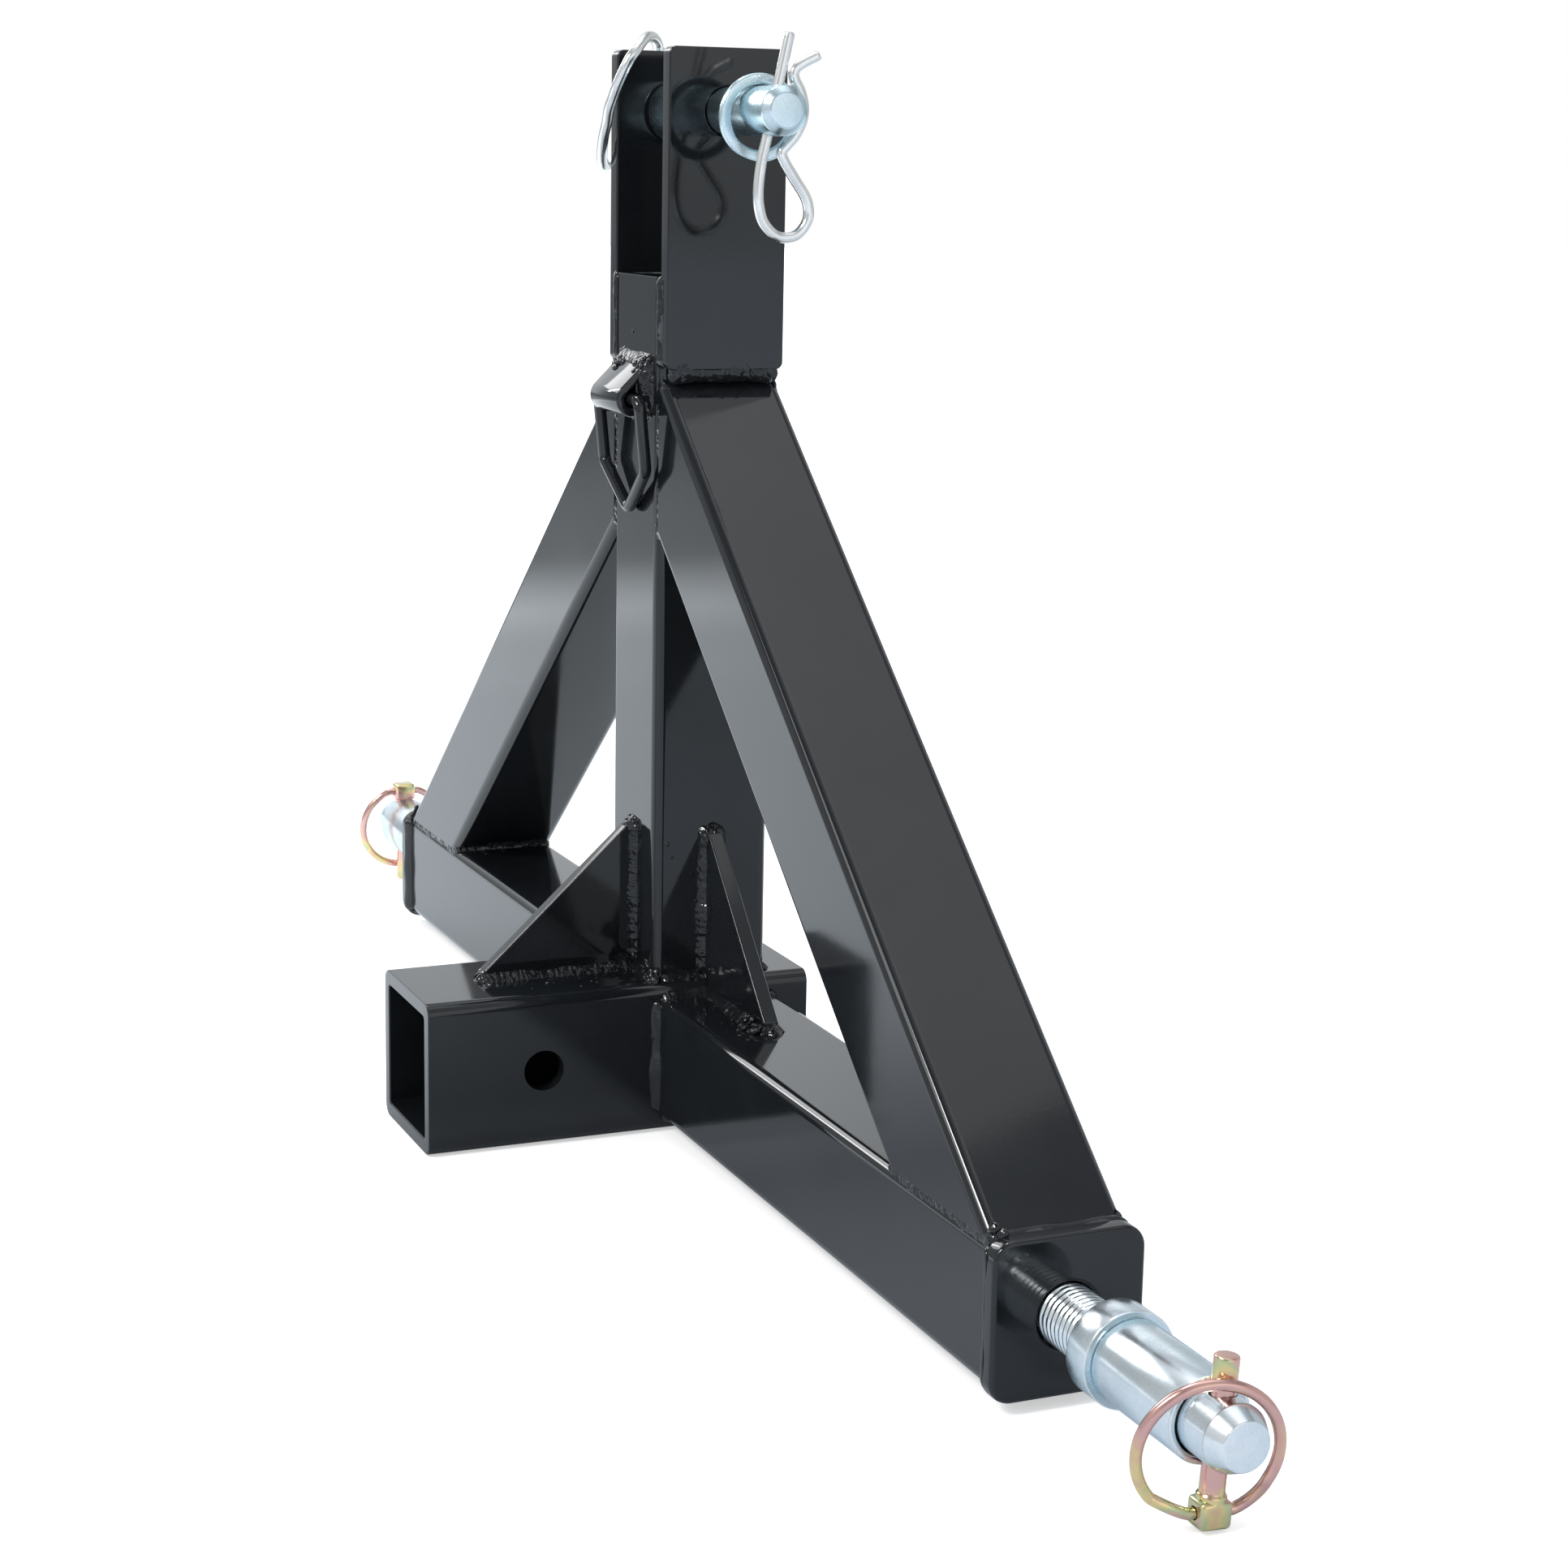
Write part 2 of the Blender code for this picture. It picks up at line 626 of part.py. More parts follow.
# Top link pin and what is on it
def top_axis():
    """Local Z runs along +X on the top pin's axis, with local X down."""
    return at(0, 0, TOP_PIN_HEIGHT) @ Matrix.Rotation(math.pi / 2, 4, "Y")


PIN_END = EAR_OUTER + TOP_PIN_NEAR_REACH
FLANGE_INNER = -EAR_OUTER - CLEARANCE
FLANGE_OUTER = FLANGE_INNER - TOP_PIN_FLANGE_THICKNESS
STUB_END = FLANGE_OUTER - TOP_PIN_STUB_LENGTH
HANDLE_PLACE = FLANGE_OUTER - (TOP_PIN_STUB_LENGTH - TOP_PIN_STUB_CHAMFER) / 2
CLIP_PLACE = PIN_END - CLIP_SETBACK


def handle_frame():
    """Local Z is the handle's bar, through the head of the pin; local X points into the bow."""
    lean = Matrix.Rotation(-HANDLE_LEAN, 4, "X")
    return at(HANDLE_PLACE, 0, TOP_PIN_HEIGHT) @ lean @ Matrix.Rotation(-math.pi / 2 + HANDLE_SWING, 4, "Z")


def clip_frame():
    """Local Z runs up the straight leg of the clip, through the tip of the pin."""
    return at(CLIP_PLACE, 0, TOP_PIN_HEIGHT) @ Matrix.Rotation(-CLIP_LEAN, 4, "X")


def make_top_pin():
    radius = TOP_PIN / 2
    flange = TOP_PIN_FLANGE / 2
    profile = [
        (0, PIN_END), (radius - TOP_PIN_CHAMFER, PIN_END), (radius, PIN_END - TOP_PIN_CHAMFER),
        (radius, FLANGE_INNER), (flange, FLANGE_INNER), (flange, FLANGE_OUTER), (radius, FLANGE_OUTER),
        (radius, STUB_END + TOP_PIN_STUB_CHAMFER), (radius - TOP_PIN_STUB_CHAMFER, STUB_END), (0, STUB_END),
    ]
    item = turned("top_pin", profile, top_axis(), ZINC)
    length = TOP_PIN + 2 * CUT_OVERRUN
    boolean(item, drill("clip_drill", CLIP_WIRE + 2 * CLIP_FIT, length, clip_frame()), "DIFFERENCE")
    boolean(item, drill("handle_drill", HANDLE_WIRE + 2 * HANDLE_FIT, length, handle_frame()), "DIFFERENCE")


def make_top_bushing():
    """Shorter than the gap between the ears by the pin's end play at each end."""
    length = 2 * (EAR_INNER - TOP_PIN_PLAY - CLEARANCE)
    profile = ring_profile(BUSHING_OUTER, TOP_PIN + 2 * CLEARANCE, length, BUSHING_EDGE)
    turned("top_bushing", profile, top_axis(), ZINC, closed=True)


def make_top_washer():
    """Hangs on the pin, so its middle lies below the pin's axis."""
    drop = (WASHER_BORE - TOP_PIN) / 2 - CLEARANCE
    middle = EAR_OUTER + WASHER_STANDOFF + WASHER_THICKNESS / 2
    profile = ring_profile(WASHER_OUTER, WASHER_BORE, WASHER_THICKNESS, WASHER_EDGE)
    turned("top_washer", profile, at(0, 0, -drop) @ top_axis() @ at(0, 0, middle), ZINC, closed=True)


# The handle as shares of half an ear's width: along the bar, out from it and across the bow's plane
HANDLE_SHARES = (
    (-0.56, 0, 0), (0, 0, 0), (0.52, 0, 0), (0.66, 0.05, 0), (0.76, 0.18, -0.04), (0.77, 0.34, -0.12),
    (0.71, 0.52, -0.24), (0.65, 0.66, -0.32), (0.62, 0.77, -0.345), (0.64, 0.88, -0.34), (0.63, 1.04, -0.32),
    (0.57, 1.26, -0.26), (0.45, 1.47, -0.19), (0.28, 1.61, -0.10), (0.09, 1.68, -0.02), (-0.09, 1.70, 0.02),
    (-0.30, 1.62, 0.04), (-0.50, 1.47, 0.03), (-0.65, 1.30, 0.01), (-0.80, 1.14, 0), (-0.94, 0.92, 0),
    (-1.09, 0.73, 0), (-1.24, 0.46, 0), (-1.32, 0.22, 0), (-1.27, 0.03, 0), (-1.05, -0.02, 0), (-0.80, 0, 0),
)

# The clip as shares of its reach, the least distance from the pin's axis to the outer leg's middle:
# across the straight leg, and up along it
CLIP_SHARES = (
    (0, 2.46), (0, 1.60), (0, 0.80), (0, -0.80), (0, -1.70), (0.09, -2.50), (0.25, -3.05), (0.55, -3.52),
    (1.10, -3.80), (1.72, -3.62), (2.00, -3.05), (1.82, -2.45), (1.25, -1.90), (0.82, -1.50), (0.62, -1.22),
    (0.72, -0.98), (0.93, -0.62), (1.06, -0.12), (1.02, 0.36), (0.80, 0.80), (0.52, 1.12), (0.44, 1.36),
    (0.62, 1.62), (1.12, 2.03),
)


def make_handle():
    unit = EAR_WIDTH / 2
    points = [(out * unit, across * unit, along * unit) for along, out, across in HANDLE_SHARES]
    wire("top_pin_handle", smooth_loop(points, 2, True), HANDLE_WIRE, handle_frame(), WIRE, True)


def make_clip():
    reach = (TOP_PIN + CLIP_WIRE) / 2 + CLEARANCE
    points = [(0, across * reach, along * reach) for across, along in CLIP_SHARES]
    wire("r_clip", smooth_loop(points, 2, False), CLIP_WIRE, clip_frame(), WIRE, False)


def build():
    make_receiver()
    make_mast()
    for side, word in ((1, "right"), (-1, "left")):
        make_cross_tube(side, word)
        make_end_plate(side, word)
        make_pin_nut(side, word)
        make_brace(side, word)
        make_ear(side, word)
        make_side_gusset(side, word)
        make_lower_pin(side, word)
        make_lower_bush(side, word)
        make_lynch_pin(side, word)
        make_lynch_ring(side, word)
    make_rear_gusset()
    make_ring_strap()
    make_d_ring()
    make_top_pin()
    make_top_bushing()
    make_top_washer()
    make_handle()
    make_clip()


build()
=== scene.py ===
"""Looks of the three point hitch adapter: painted frame, weld beads, plated pins and wires.

Metres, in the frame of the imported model: the cross tube lies along X, the receiver tube's open mouth
looks along -Y, and the receiver tube stands on z = 0.
"""

import bisect
import json
import math
import random

import bmesh
import bpy
from mathutils import Matrix, Vector
from mathutils.geometry import tessellate_polygon

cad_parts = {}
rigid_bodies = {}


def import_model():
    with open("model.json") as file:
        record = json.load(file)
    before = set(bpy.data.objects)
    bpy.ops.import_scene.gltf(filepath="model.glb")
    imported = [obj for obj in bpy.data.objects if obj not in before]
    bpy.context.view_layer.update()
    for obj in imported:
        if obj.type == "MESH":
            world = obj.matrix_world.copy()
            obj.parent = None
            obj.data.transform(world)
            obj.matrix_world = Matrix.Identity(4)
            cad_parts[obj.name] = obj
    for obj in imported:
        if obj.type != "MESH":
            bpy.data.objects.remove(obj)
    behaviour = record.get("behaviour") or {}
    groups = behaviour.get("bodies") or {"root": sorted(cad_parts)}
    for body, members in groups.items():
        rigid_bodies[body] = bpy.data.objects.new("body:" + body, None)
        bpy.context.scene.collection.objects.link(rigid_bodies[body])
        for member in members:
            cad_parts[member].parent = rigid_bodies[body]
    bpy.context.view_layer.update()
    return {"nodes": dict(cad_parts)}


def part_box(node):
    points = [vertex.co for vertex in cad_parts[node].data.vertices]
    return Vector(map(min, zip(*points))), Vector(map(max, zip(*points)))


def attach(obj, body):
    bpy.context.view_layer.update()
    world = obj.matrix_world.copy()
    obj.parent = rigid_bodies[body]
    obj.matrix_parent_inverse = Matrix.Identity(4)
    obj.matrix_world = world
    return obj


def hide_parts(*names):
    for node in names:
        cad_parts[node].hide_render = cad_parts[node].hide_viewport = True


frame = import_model()
# The ripples and drops of the welds come out the same on each run
random.seed(7)

# Camera, found from the photograph's straight edges
CAMERA_PLACE = Vector((1.1376, -0.45005, 0.39746))
CAMERA_YAW = math.radians(156.553)
CAMERA_PITCH = math.radians(-11.842)
CAMERA_ROLL = math.radians(1.081)
LENS_MM = 68.12
SENSOR_MM = 36.0

# Sizes that the solids' boxes don't give
TUBE_WALL = 0.0048
TUBE_CORNER = 0.0045
TUBE_INNER_CORNER = 0.0015
RECEIVER_WALL = 0.0060
RECEIVER_CORNER = 0.0050
RECEIVER_INNER_CORNER = 0.0018
HITCH_PIN_HOLE = 0.0170
HITCH_PIN_SETBACK = 0.0490
SAWN_EDGE = 0.0005
PLATE_CORNER = 0.0080
PLATE_EDGE = 0.0016
EAR_CORNER = 0.0030
EAR_EDGE = 0.0007
TOP_PIN_SETBACK = 0.0245
GUSSET_NOSE = 0.0040
GUSSET_EDGE = 0.0007
PIN_FIT = 0.0006
PIN_EDGE = 0.0004
LINK_PIN = 0.0222
THREAD_ROOT = 0.0207
THREAD_CREST = 0.0220
THREAD_PITCH = 0.0027
LINK_COLLAR = 0.0330
LINK_COLLAR_LENGTH = 0.0120
LINK_JOURNAL_LENGTH = 0.0685
LINK_END_TAPER = 0.0030
LINK_END_TAPER_LENGTH = 0.0064
COLLAR_EDGE = 0.0008
SLEEVE_BORE = 0.0230
SLEEVE_EDGE = 0.0009
LYNCH_SHANK = 0.0080
LYNCH_HOLE = 0.0088
LYNCH_HEAD = Vector((0.0096, 0.0110, 0.0090))
LYNCH_HEAD_ROUND = 0.0017
LYNCH_EDGE = 0.0008
LYNCH_NECK = 0.0096
LYNCH_NECK_HEIGHT = 0.0020
LYNCH_LENGTH = 0.0540
LYNCH_LEAN = math.radians(4.0)
LYNCH_HEAD_RIGHT = 0.0267
LYNCH_HEAD_LEFT = 0.0179
LYNCH_PLACE = 0.4340
LYNCH_WIRE = 0.0038
LYNCH_RING_REACH = 0.0434
LYNCH_RING_RUN = 0.0080
LYNCH_RING_TILT = math.radians(8.5)
LYNCH_RING_LEAN = math.radians(-12.0)
LYNCH_RING_TURN = math.radians(11.4)
TOP_PIN = 0.0190
TOP_PIN_EDGE = 0.0007
TOP_PIN_CHAMFER = 0.0029
TOP_PIN_FLANGE = 0.0280
TOP_PIN_FLANGE_THICKNESS = 0.0035
TOP_PIN_STUB_LENGTH = 0.0130
TOP_PIN_STUB_CHAMFER = 0.0015
TOP_BUSHING_BORE = 0.0196
WASHER_BORE = 0.0245
WASHER_EDGE = 0.0010
HANDLE_WIRE = 0.0044
HANDLE_PLACE = 0.04275
HANDLE_LEAN = math.radians(45.1)
HANDLE_SWING = math.radians(41.5)
CLIP_WIRE = 0.0042
CLIP_SETBACK = 0.0145
CLIP_LEAN = math.radians(12.5)
RING_WIRE = 0.0050
RING_HALF_WIDTH = 0.0240
RING_LEG = 0.0280
RING_DROP = 0.0460
RING_BEND = 0.0045
RING_BAR_STANDOFF = 0.0076
RING_BAR_DROP = 0.0090
RING_POINT_GAP = 0.000306
STRAP_THICKNESS = 0.0035
STRAP_FIT = 0.0007
STRAP_SLOPE = math.radians(45.0)
COLLAR_FACE_PROUD = 0.00004
COLLAR_FACE_DEPTH = 0.0004
PIN_STEPS = 72
DRILL_STEPS = 40
# Mesh rings in one pitch of a thread
THREAD_LEVELS = 10
# A wire end's dome in shares of its radius: how far past the end each of its rings is, and how wide
WIRE_DOME = ((0.30, 0.55), (0.18, 0.88))

# Weld beads: pitch of the ripples, length of a mesh step, sides of a section, and how far a bead
# stops short of a tube's corner
WELD_PITCH = 0.0026
WELD_STEP = 0.0006
BEAD_SIDES = 12
NEAR_STOP = 0.001
FAR_STOP = 0.002
# Shares of the leg: a bead's half width, its height, what lies under the surface, and its wandering
BEAD_HALF_WIDTH = 1.12
BEAD_HEIGHT = 0.56
BEAD_UNDERSIDE = 0.4
BEAD_WANDER = 0.08
# A bead's lumps, as shares of the leg and radians per metre, and the radians per metre of its wandering
BEAD_LUMPS = ((0.07, 310), (0.08, 133))
BEAD_BENDS = (240, 95)
# Least and greatest length of a ripple in pitches, and its height as a share of the bead's own; how far
# its middle is ahead of its sides, in pitches
RIPPLE_LENGTHS = (0.6, 1.7)
RIPPLE_HEIGHTS = (0.1, 1.0)
RIPPLE_LEAD = 0.30
# Drops on a bead, in legs: their spread to both sides, how proud they can be and their radii; and then
# how flat drops are, and how far they are drawn out one way
DROP_SPREAD = 0.75
DROP_RISE = 0.25
DROP_RADII = (0.24, 0.48)
DROP_FLATNESS = (0.6, 0.9)
DROP_STRETCH = (0.8, 1.2)
# How far beads run past the gussets' ends, and where those round a tip or a toe lie
REAR_OVERRUN = 0.003
SIDE_OVERRUN = 0.002
TIP_OVERRUN = 0.0012
# Where the other beads lie beside their pieces' edges
EAR_BEAD_INSET = 0.0006
EAR_FOOT_REACH = 0.0045
EAR_FOOT_DROP = 0.0012
BRACE_TOP_INSET = 0.0004
BRACE_SIDE_INSET = 0.0022
BRACE_FOOT_INSET = 0.0008
BRACE_FOOT_OVERRUN = 0.001
BRACE_TOE_REACH = 0.0002
BRACE_TOE_DROP = 0.0016
PLATE_BEAD_RISE = 0.0006
STRAP_TOP_DROP = 0.0012
STRAP_FOOT_RISE = 0.0008
STRAP_OVERRUN = 0.001
# The slanting bead on each of the strap's ends: out from the mast, and from the upper or lower bead
STRAP_SLANT_START = (0.003, 0.003)
STRAP_SLANT_END = (0.0005, 0.004)
# Each bead's leg, height against a full one, height of its ripples and share of drops
RECEIVER_BEAD = (0.0048, 0.90, 0.03, 0.25)
MAST_FOOT_BEAD = (0.0044, 1.00, 0.10, 1.20)
GUSSET_BEAD = (0.0048, 0.85, 0.14, 1.30)
EAR_EDGE_BEAD = (0.0034, 0.80, 0.02, 0.0)
EAR_FOOT_BEAD = (0.0038, 1.00, 0.30, 0.60)
BRACE_CORNER_BEAD = (0.0042, 0.90, 0.08, 0.50)
BRACE_SIDE_BEAD = (0.0036, 0.80, 0.20, 0.70)
BRACE_FOOT_BEAD = (0.0030, 0.70, 0.0, 0.0)
END_PLATE_BEAD = (0.0032, 0.90, 0.02, 0.0)
STRAP_BEAD = (0.0040, 1.00, 0.08, 1.60)


def solid_box(node):
    """The lowest and the highest corner of a node's solid."""
    return (Vector(corner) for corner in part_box(node))


# Places read from the solids
MAST_LOW, MAST_HIGH = solid_box("mast_tube")
RECEIVER_LOW, RECEIVER_HIGH = solid_box("receiver_tube")
CROSS_LOW, CROSS_HIGH = solid_box("cross_tube_right")
BRACE_LOW, BRACE_HIGH = solid_box("brace_right")
PLATE_LOW, PLATE_HIGH = solid_box("end_plate_right")
EAR_LOW, EAR_HIGH = solid_box("clevis_ear_right")
REAR_GUSSET_LOW, REAR_GUSSET_HIGH = solid_box("rear_gusset")
SIDE_GUSSET_LOW, SIDE_GUSSET_HIGH = solid_box("side_gusset_right")
STRAP_LOW, STRAP_HIGH = solid_box("ring_strap")
LOWER_PIN_LOW, LOWER_PIN_HIGH = solid_box("lower_pin_right")
SLEEVE_LOW, SLEEVE_HIGH = solid_box("lower_bush_right")
BUSHING_LOW, BUSHING_HIGH = solid_box("top_bushing")
WASHER_LOW, WASHER_HIGH = solid_box("top_washer")
TOP_PIN_LOW, TOP_PIN_HIGH = solid_box("top_pin")
TUBE_SIZE = MAST_HIGH.x - MAST_LOW.x
TUBE_HALF = TUBE_SIZE / 2
AXIS_HEIGHT = (CROSS_LOW.z + CROSS_HIGH.z) / 2
TOP_AXIS_HEIGHT = EAR_HIGH.z - TOP_PIN_SETBACK
RING_BAR = Vector((0, MAST_LOW.y - RING_BAR_STANDOFF, BRACE_HIGH.z - RING_BAR_DROP))

# Frames whose local Z runs along a world axis
ALONG_X = Matrix(((0, 0, 1), (1, 0, 0), (0, 1, 0))).to_4x4()
ALONG_Y = Matrix(((0, 1, 0), (0, 0, 1), (1, 0, 0))).to_4x4()
ALONG_Z = Matrix.Identity(4)


def at(x, y, z):
    return Matrix.Translation((x, y, z))


class Nodes:
    """Short forms for adding and wiring the nodes of one tree."""

    def __init__(self, tree):
        self.tree = tree

    def add(self, kind, inputs=None, **settings):
        node = self.tree.nodes.new(kind)
        for key, value in settings.items():
            setattr(node, key, value)
        self.feed(node, inputs or {})
        return node

    def feed(self, node, inputs):
        """Gives inputs their plain values, or wires them to other nodes' outputs."""
        for key, value in inputs.items():
            if isinstance(value, bpy.types.NodeSocket):
                self.tree.links.new(value, node.inputs[key])
            else:
                node.inputs[key].default_value = value

    def place(self, kind="Object"):
        return self.add("ShaderNodeTexCoord").outputs[kind]

    def axes(self, place):
        return self.add("ShaderNodeSeparateXYZ", {0: place}).outputs

    def noise(self, place, scale, detail, roughness=0.5):
        inputs = {"Vector": place, "Scale": scale, "Detail": detail, "Roughness": roughness}
        return self.add("ShaderNodeTexNoise", inputs).outputs["Fac"]

    def math(self, operation, *values):
        return self.add("ShaderNodeMath", dict(enumerate(values)), operation=operation).outputs[0]

    def span(self, value, *limits):
        """Moves a value from the range of the first two limits to that of the last two."""
        keys = ("Value", "From Min", "From Max", "To Min", "To Max")
        return self.add("ShaderNodeMapRange", dict(zip(keys, (value, *limits)))).outputs["Result"]

    def ramp(self, value, stops):
        node = self.add("ShaderNodeValToRGB", {"Fac": value})
        ramp = node.color_ramp
        while len(ramp.elements) < len(stops):
            ramp.elements.new(0.5)
        for element, (position, colour) in zip(ramp.elements, stops):
            element.position = position
            element.color = (*colour, 1.0)
        return node.outputs["Color"]


# Shader node groups, each built once and used by several finishes
def new_group(name, inputs, outputs):
    """A group of plain numbers, with a maker for its nodes, what it is given and what it puts out."""
    group = bpy.data.node_groups.new(name, "ShaderNodeTree")
    for label, value in inputs.items():
        socket = group.interface.new_socket(label, in_out="INPUT", socket_type="NodeSocketFloat")
        socket.default_value = value
    for label in outputs:
        group.interface.new_socket(label, in_out="OUTPUT", socket_type="NodeSocketFloat")
    nodes = Nodes(group)
    return group, nodes, nodes.add("NodeGroupInput").outputs, nodes.add("NodeGroupOutput")


def make_surface_ripple_group():
    """Fine orange peel over a slow waviness, as a height for a Bump node."""
    inputs = {"Peel Scale": 700.0, "Peel": 0.3, "Wave Scale": 30.0, "Wave": 1.0}
    group, nodes, given, result = new_group("surface_ripple", inputs, ["Height"])
    place = nodes.place()
    peel = nodes.math("MULTIPLY", nodes.noise(place, given["Peel Scale"], 1.0), given["Peel"])
    wave = nodes.math("MULTIPLY", nodes.noise(place, given["Wave Scale"], 1.0), given["Wave"])
    nodes.feed(result, {"Height": nodes.math("ADD", peel, wave)})
    return group


def make_plating_mottle_group():
    """Cloudy and grainy variation of a plated surface, as a mask and a roughness."""
    inputs = {"Cloud Scale": 60.0, "Grain Scale": 1500.0, "Rough Low": 0.18, "Rough High": 0.36}
    group, nodes, given, result = new_group("plating_mottle", inputs, ["Mask", "Roughness"])
    place = nodes.place()
    grain = nodes.math("MULTIPLY", nodes.noise(place, given["Grain Scale"], 2.0), 0.35)
    cloud = nodes.math("MULTIPLY", nodes.noise(place, given["Cloud Scale"], 4.0), 0.65)
    both = nodes.math("ADD", grain, cloud)
    rough = nodes.span(both, 0.32, 0.68, given["Rough Low"], given["Rough High"])
    nodes.feed(result, {"Mask": nodes.span(both, 0.32, 0.68, 0.0, 1.0), "Roughness": rough})
    return group


SURFACE_RIPPLE = make_surface_ripple_group()
PLATING_MOTTLE = make_plating_mottle_group()


def placed_group(nodes, group, values):
    """A group set into a finish with that finish's own values."""
    node = nodes.add("ShaderNodeGroup", node_tree=group)
    nodes.feed(node, {key.replace("_", " ").title(): value for key, value in values.items()})
    return node.outputs


def new_finish(name):
    material = bpy.data.materials.new(name)
    material.use_nodes = True
    return material, Nodes(material.node_tree), material.node_tree.nodes["Principled BSDF"]


def rippled_normal(nodes, strength, depth, ripple):
    height = placed_group(nodes, SURFACE_RIPPLE, ripple)["Height"]
    inputs = {"Strength": strength, "Distance": depth, "Height": height}
    return nodes.add("ShaderNodeBump", inputs).outputs["Normal"]


# Finishes
COAT_BLACK = (0.0060, 0.0072, 0.0086)
COAT_DUSTY = (0.0098, 0.0116, 0.0136)
COAT_IOR = 1.52
PLATING_RIPPLE_DEPTH = 0.0002
WIRE_BRIGHT = (0.88, 0.88, 0.86)
WIRE_DULL = (0.76, 0.76, 0.75)
GOLD_SHARE = 0.42
CHROMATE_TINTS = (
    (0.00, (0.80, 0.50, 0.40)), (0.30, (0.72, 0.43, 0.40)), (0.52, (0.78, 0.49, 0.37)),
    (0.68, (0.82, 0.66, 0.32)), (0.80, (0.56, 0.62, 0.34)), (0.94, (0.78, 0.50, 0.42)),
)


def make_black_coat(name, depth, **ripple):
    """Gloss black powder coat, with a little haze where dust lies in it."""
    material, nodes, shader = new_finish(name)
    haze = nodes.noise(nodes.place(), 18.0, 5.0, 0.6)
    nodes.feed(shader, {
        "Base Color": nodes.ramp(haze, ((0.35, COAT_BLACK), (0.70, COAT_DUSTY))),
        "Roughness": nodes.span(haze, 0.3, 0.7, 0.055, 0.10),
        "IOR": COAT_IOR,
        "Normal": rippled_normal(nodes, 1.0, depth, ripple),
    })
    return material


def make_plating(name, tint, mottle, strength, ripple):
    """Bare plated metal. The tint is a function that makes its colour from the mottle's mask."""
    material, nodes, shader = new_finish(name)
    clouds = placed_group(nodes, PLATING_MOTTLE, mottle)
    nodes.feed(shader, {
        "Base Color": tint(nodes, clouds["Mask"]),
        "Roughness": clouds["Roughness"],
        "Metallic": 1.0,
        "Normal": rippled_normal(nodes, strength, PLATING_RIPPLE_DEPTH, ripple),
    })
    return material


def turned_away(nodes, blend, share):
    """Grows towards the outline, where the surface turns away from the eye."""
    facing = nodes.add("ShaderNodeLayerWeight", {"Blend": blend}).outputs["Facing"]
    return nodes.math("MULTIPLY", facing, share)


def make_zinc(name, cool, bright, rough_low, rough_high):
    """Blue-white zinc: cloudy and a little grainy, with a painted shade that makes it darker and cooler where
    it turns away from the eye.
    """
    def tint(nodes, mask):
        clouds = nodes.math("MULTIPLY", mask, 0.45)
        # Painted shade: the facing share pushes the colour towards the darker, cooler end near the outline
        shade = nodes.math("ADD", clouds, turned_away(nodes, 0.35, 0.65))
        return nodes.ramp(shade, ((0.16, bright), (0.86, cool)))

    mottle = {"cloud_scale": 90.0, "rough_low": rough_low, "rough_high": rough_high}
    ripple = {"peel": 0.6, "peel_scale": 900.0, "wave": 0.8, "wave_scale": 160.0}
    return make_plating(name, tint, mottle, 0.10, ripple)


def make_bright_wire(name):
    """Spring wire with a bright nickel plating that is a little duller in places."""
    def tint(nodes, mask):
        return nodes.ramp(mask, ((0.1, WIRE_BRIGHT), (0.9, WIRE_DULL)))

    mottle = {"cloud_scale": 120.0, "rough_low": 0.18, "rough_high": 0.30}
    ripple = {"peel": 0.4, "peel_scale": 900.0, "wave": 0.8, "wave_scale": 200.0}
    return make_plating(name, tint, mottle, 0.06, ripple)


def lynch_pin_gold(nodes, axes):
    """More above and below the link pin that the lynch pin goes through."""
    reach = nodes.math("ABSOLUTE", nodes.math("SUBTRACT", axes["Z"], AXIS_HEIGHT))
    return nodes.span(reach, 0.012, 0.022, 0.0, GOLD_SHARE)


def lynch_ring_gold(nodes, axes):
    """More on the ring's low side towards the receiver tube's mouth."""
    return nodes.span(nodes.math("ADD", axes["Z"], axes["Y"]), -0.010, 0.020, GOLD_SHARE, 0.0)


def make_yellow_zinc(name, gold):
    """Yellow chromate over zinc: rose, drifting to gold and green where the gold is given."""
    def tint(nodes, mask):
        place = nodes.place()
        drift = nodes.span(nodes.noise(place, 75.0, 2.0), 0.32, 0.68, 0.0, 0.50)
        rose = nodes.math("ADD", drift, turned_away(nodes, 0.4, 0.20))
        return nodes.ramp(nodes.math("ADD", rose, gold(nodes, nodes.axes(place))), CHROMATE_TINTS)

    mottle = {"cloud_scale": 200.0, "rough_low": 0.16, "rough_high": 0.30}
    ripple = {"peel": 0.5, "peel_scale": 1000.0, "wave": 0.6, "wave_scale": 200.0}
    return make_plating(name, tint, mottle, 0.08, ripple)


BLACK_COAT = make_black_coat("gloss_black_coat", 0.00002, peel=0.18, wave=0.5)
WELD_COAT = make_black_coat("gloss_black_weld", 0.0014, peel=0.02, wave=0.9, wave_scale=300.0)
SMOOTH_WELD_COAT = make_black_coat("gloss_black_smooth_weld", 0.0005, peel=0.02, wave=0.9,
                                   wave_scale=130.0)
ZINC = make_zinc("blue_white_zinc", (0.52, 0.66, 0.73), (0.91, 0.94, 0.955), 0.15, 0.28)
COOL_ZINC = make_zinc("cool_teal_zinc", (0.36, 0.55, 0.61), (0.70, 0.81, 0.86), 0.17, 0.34)
WIRE = make_bright_wire("bright_nickel_wire")
YELLOW_PIN = make_yellow_zinc("yellow_zinc_pin", lynch_pin_gold)
YELLOW_RING = make_yellow_zinc("yellow_zinc_ring", lynch_ring_gold)


# Outlines, each a function of how far it is drawn in from the full size
def arc(centre, radius, start, end, steps):
    points = []
    for index in range(steps + 1):
        angle = start + (end - start) * index / steps
        points.append((centre[0] + radius * math.cos(angle), centre[1] + radius * math.sin(angle)))
    return points


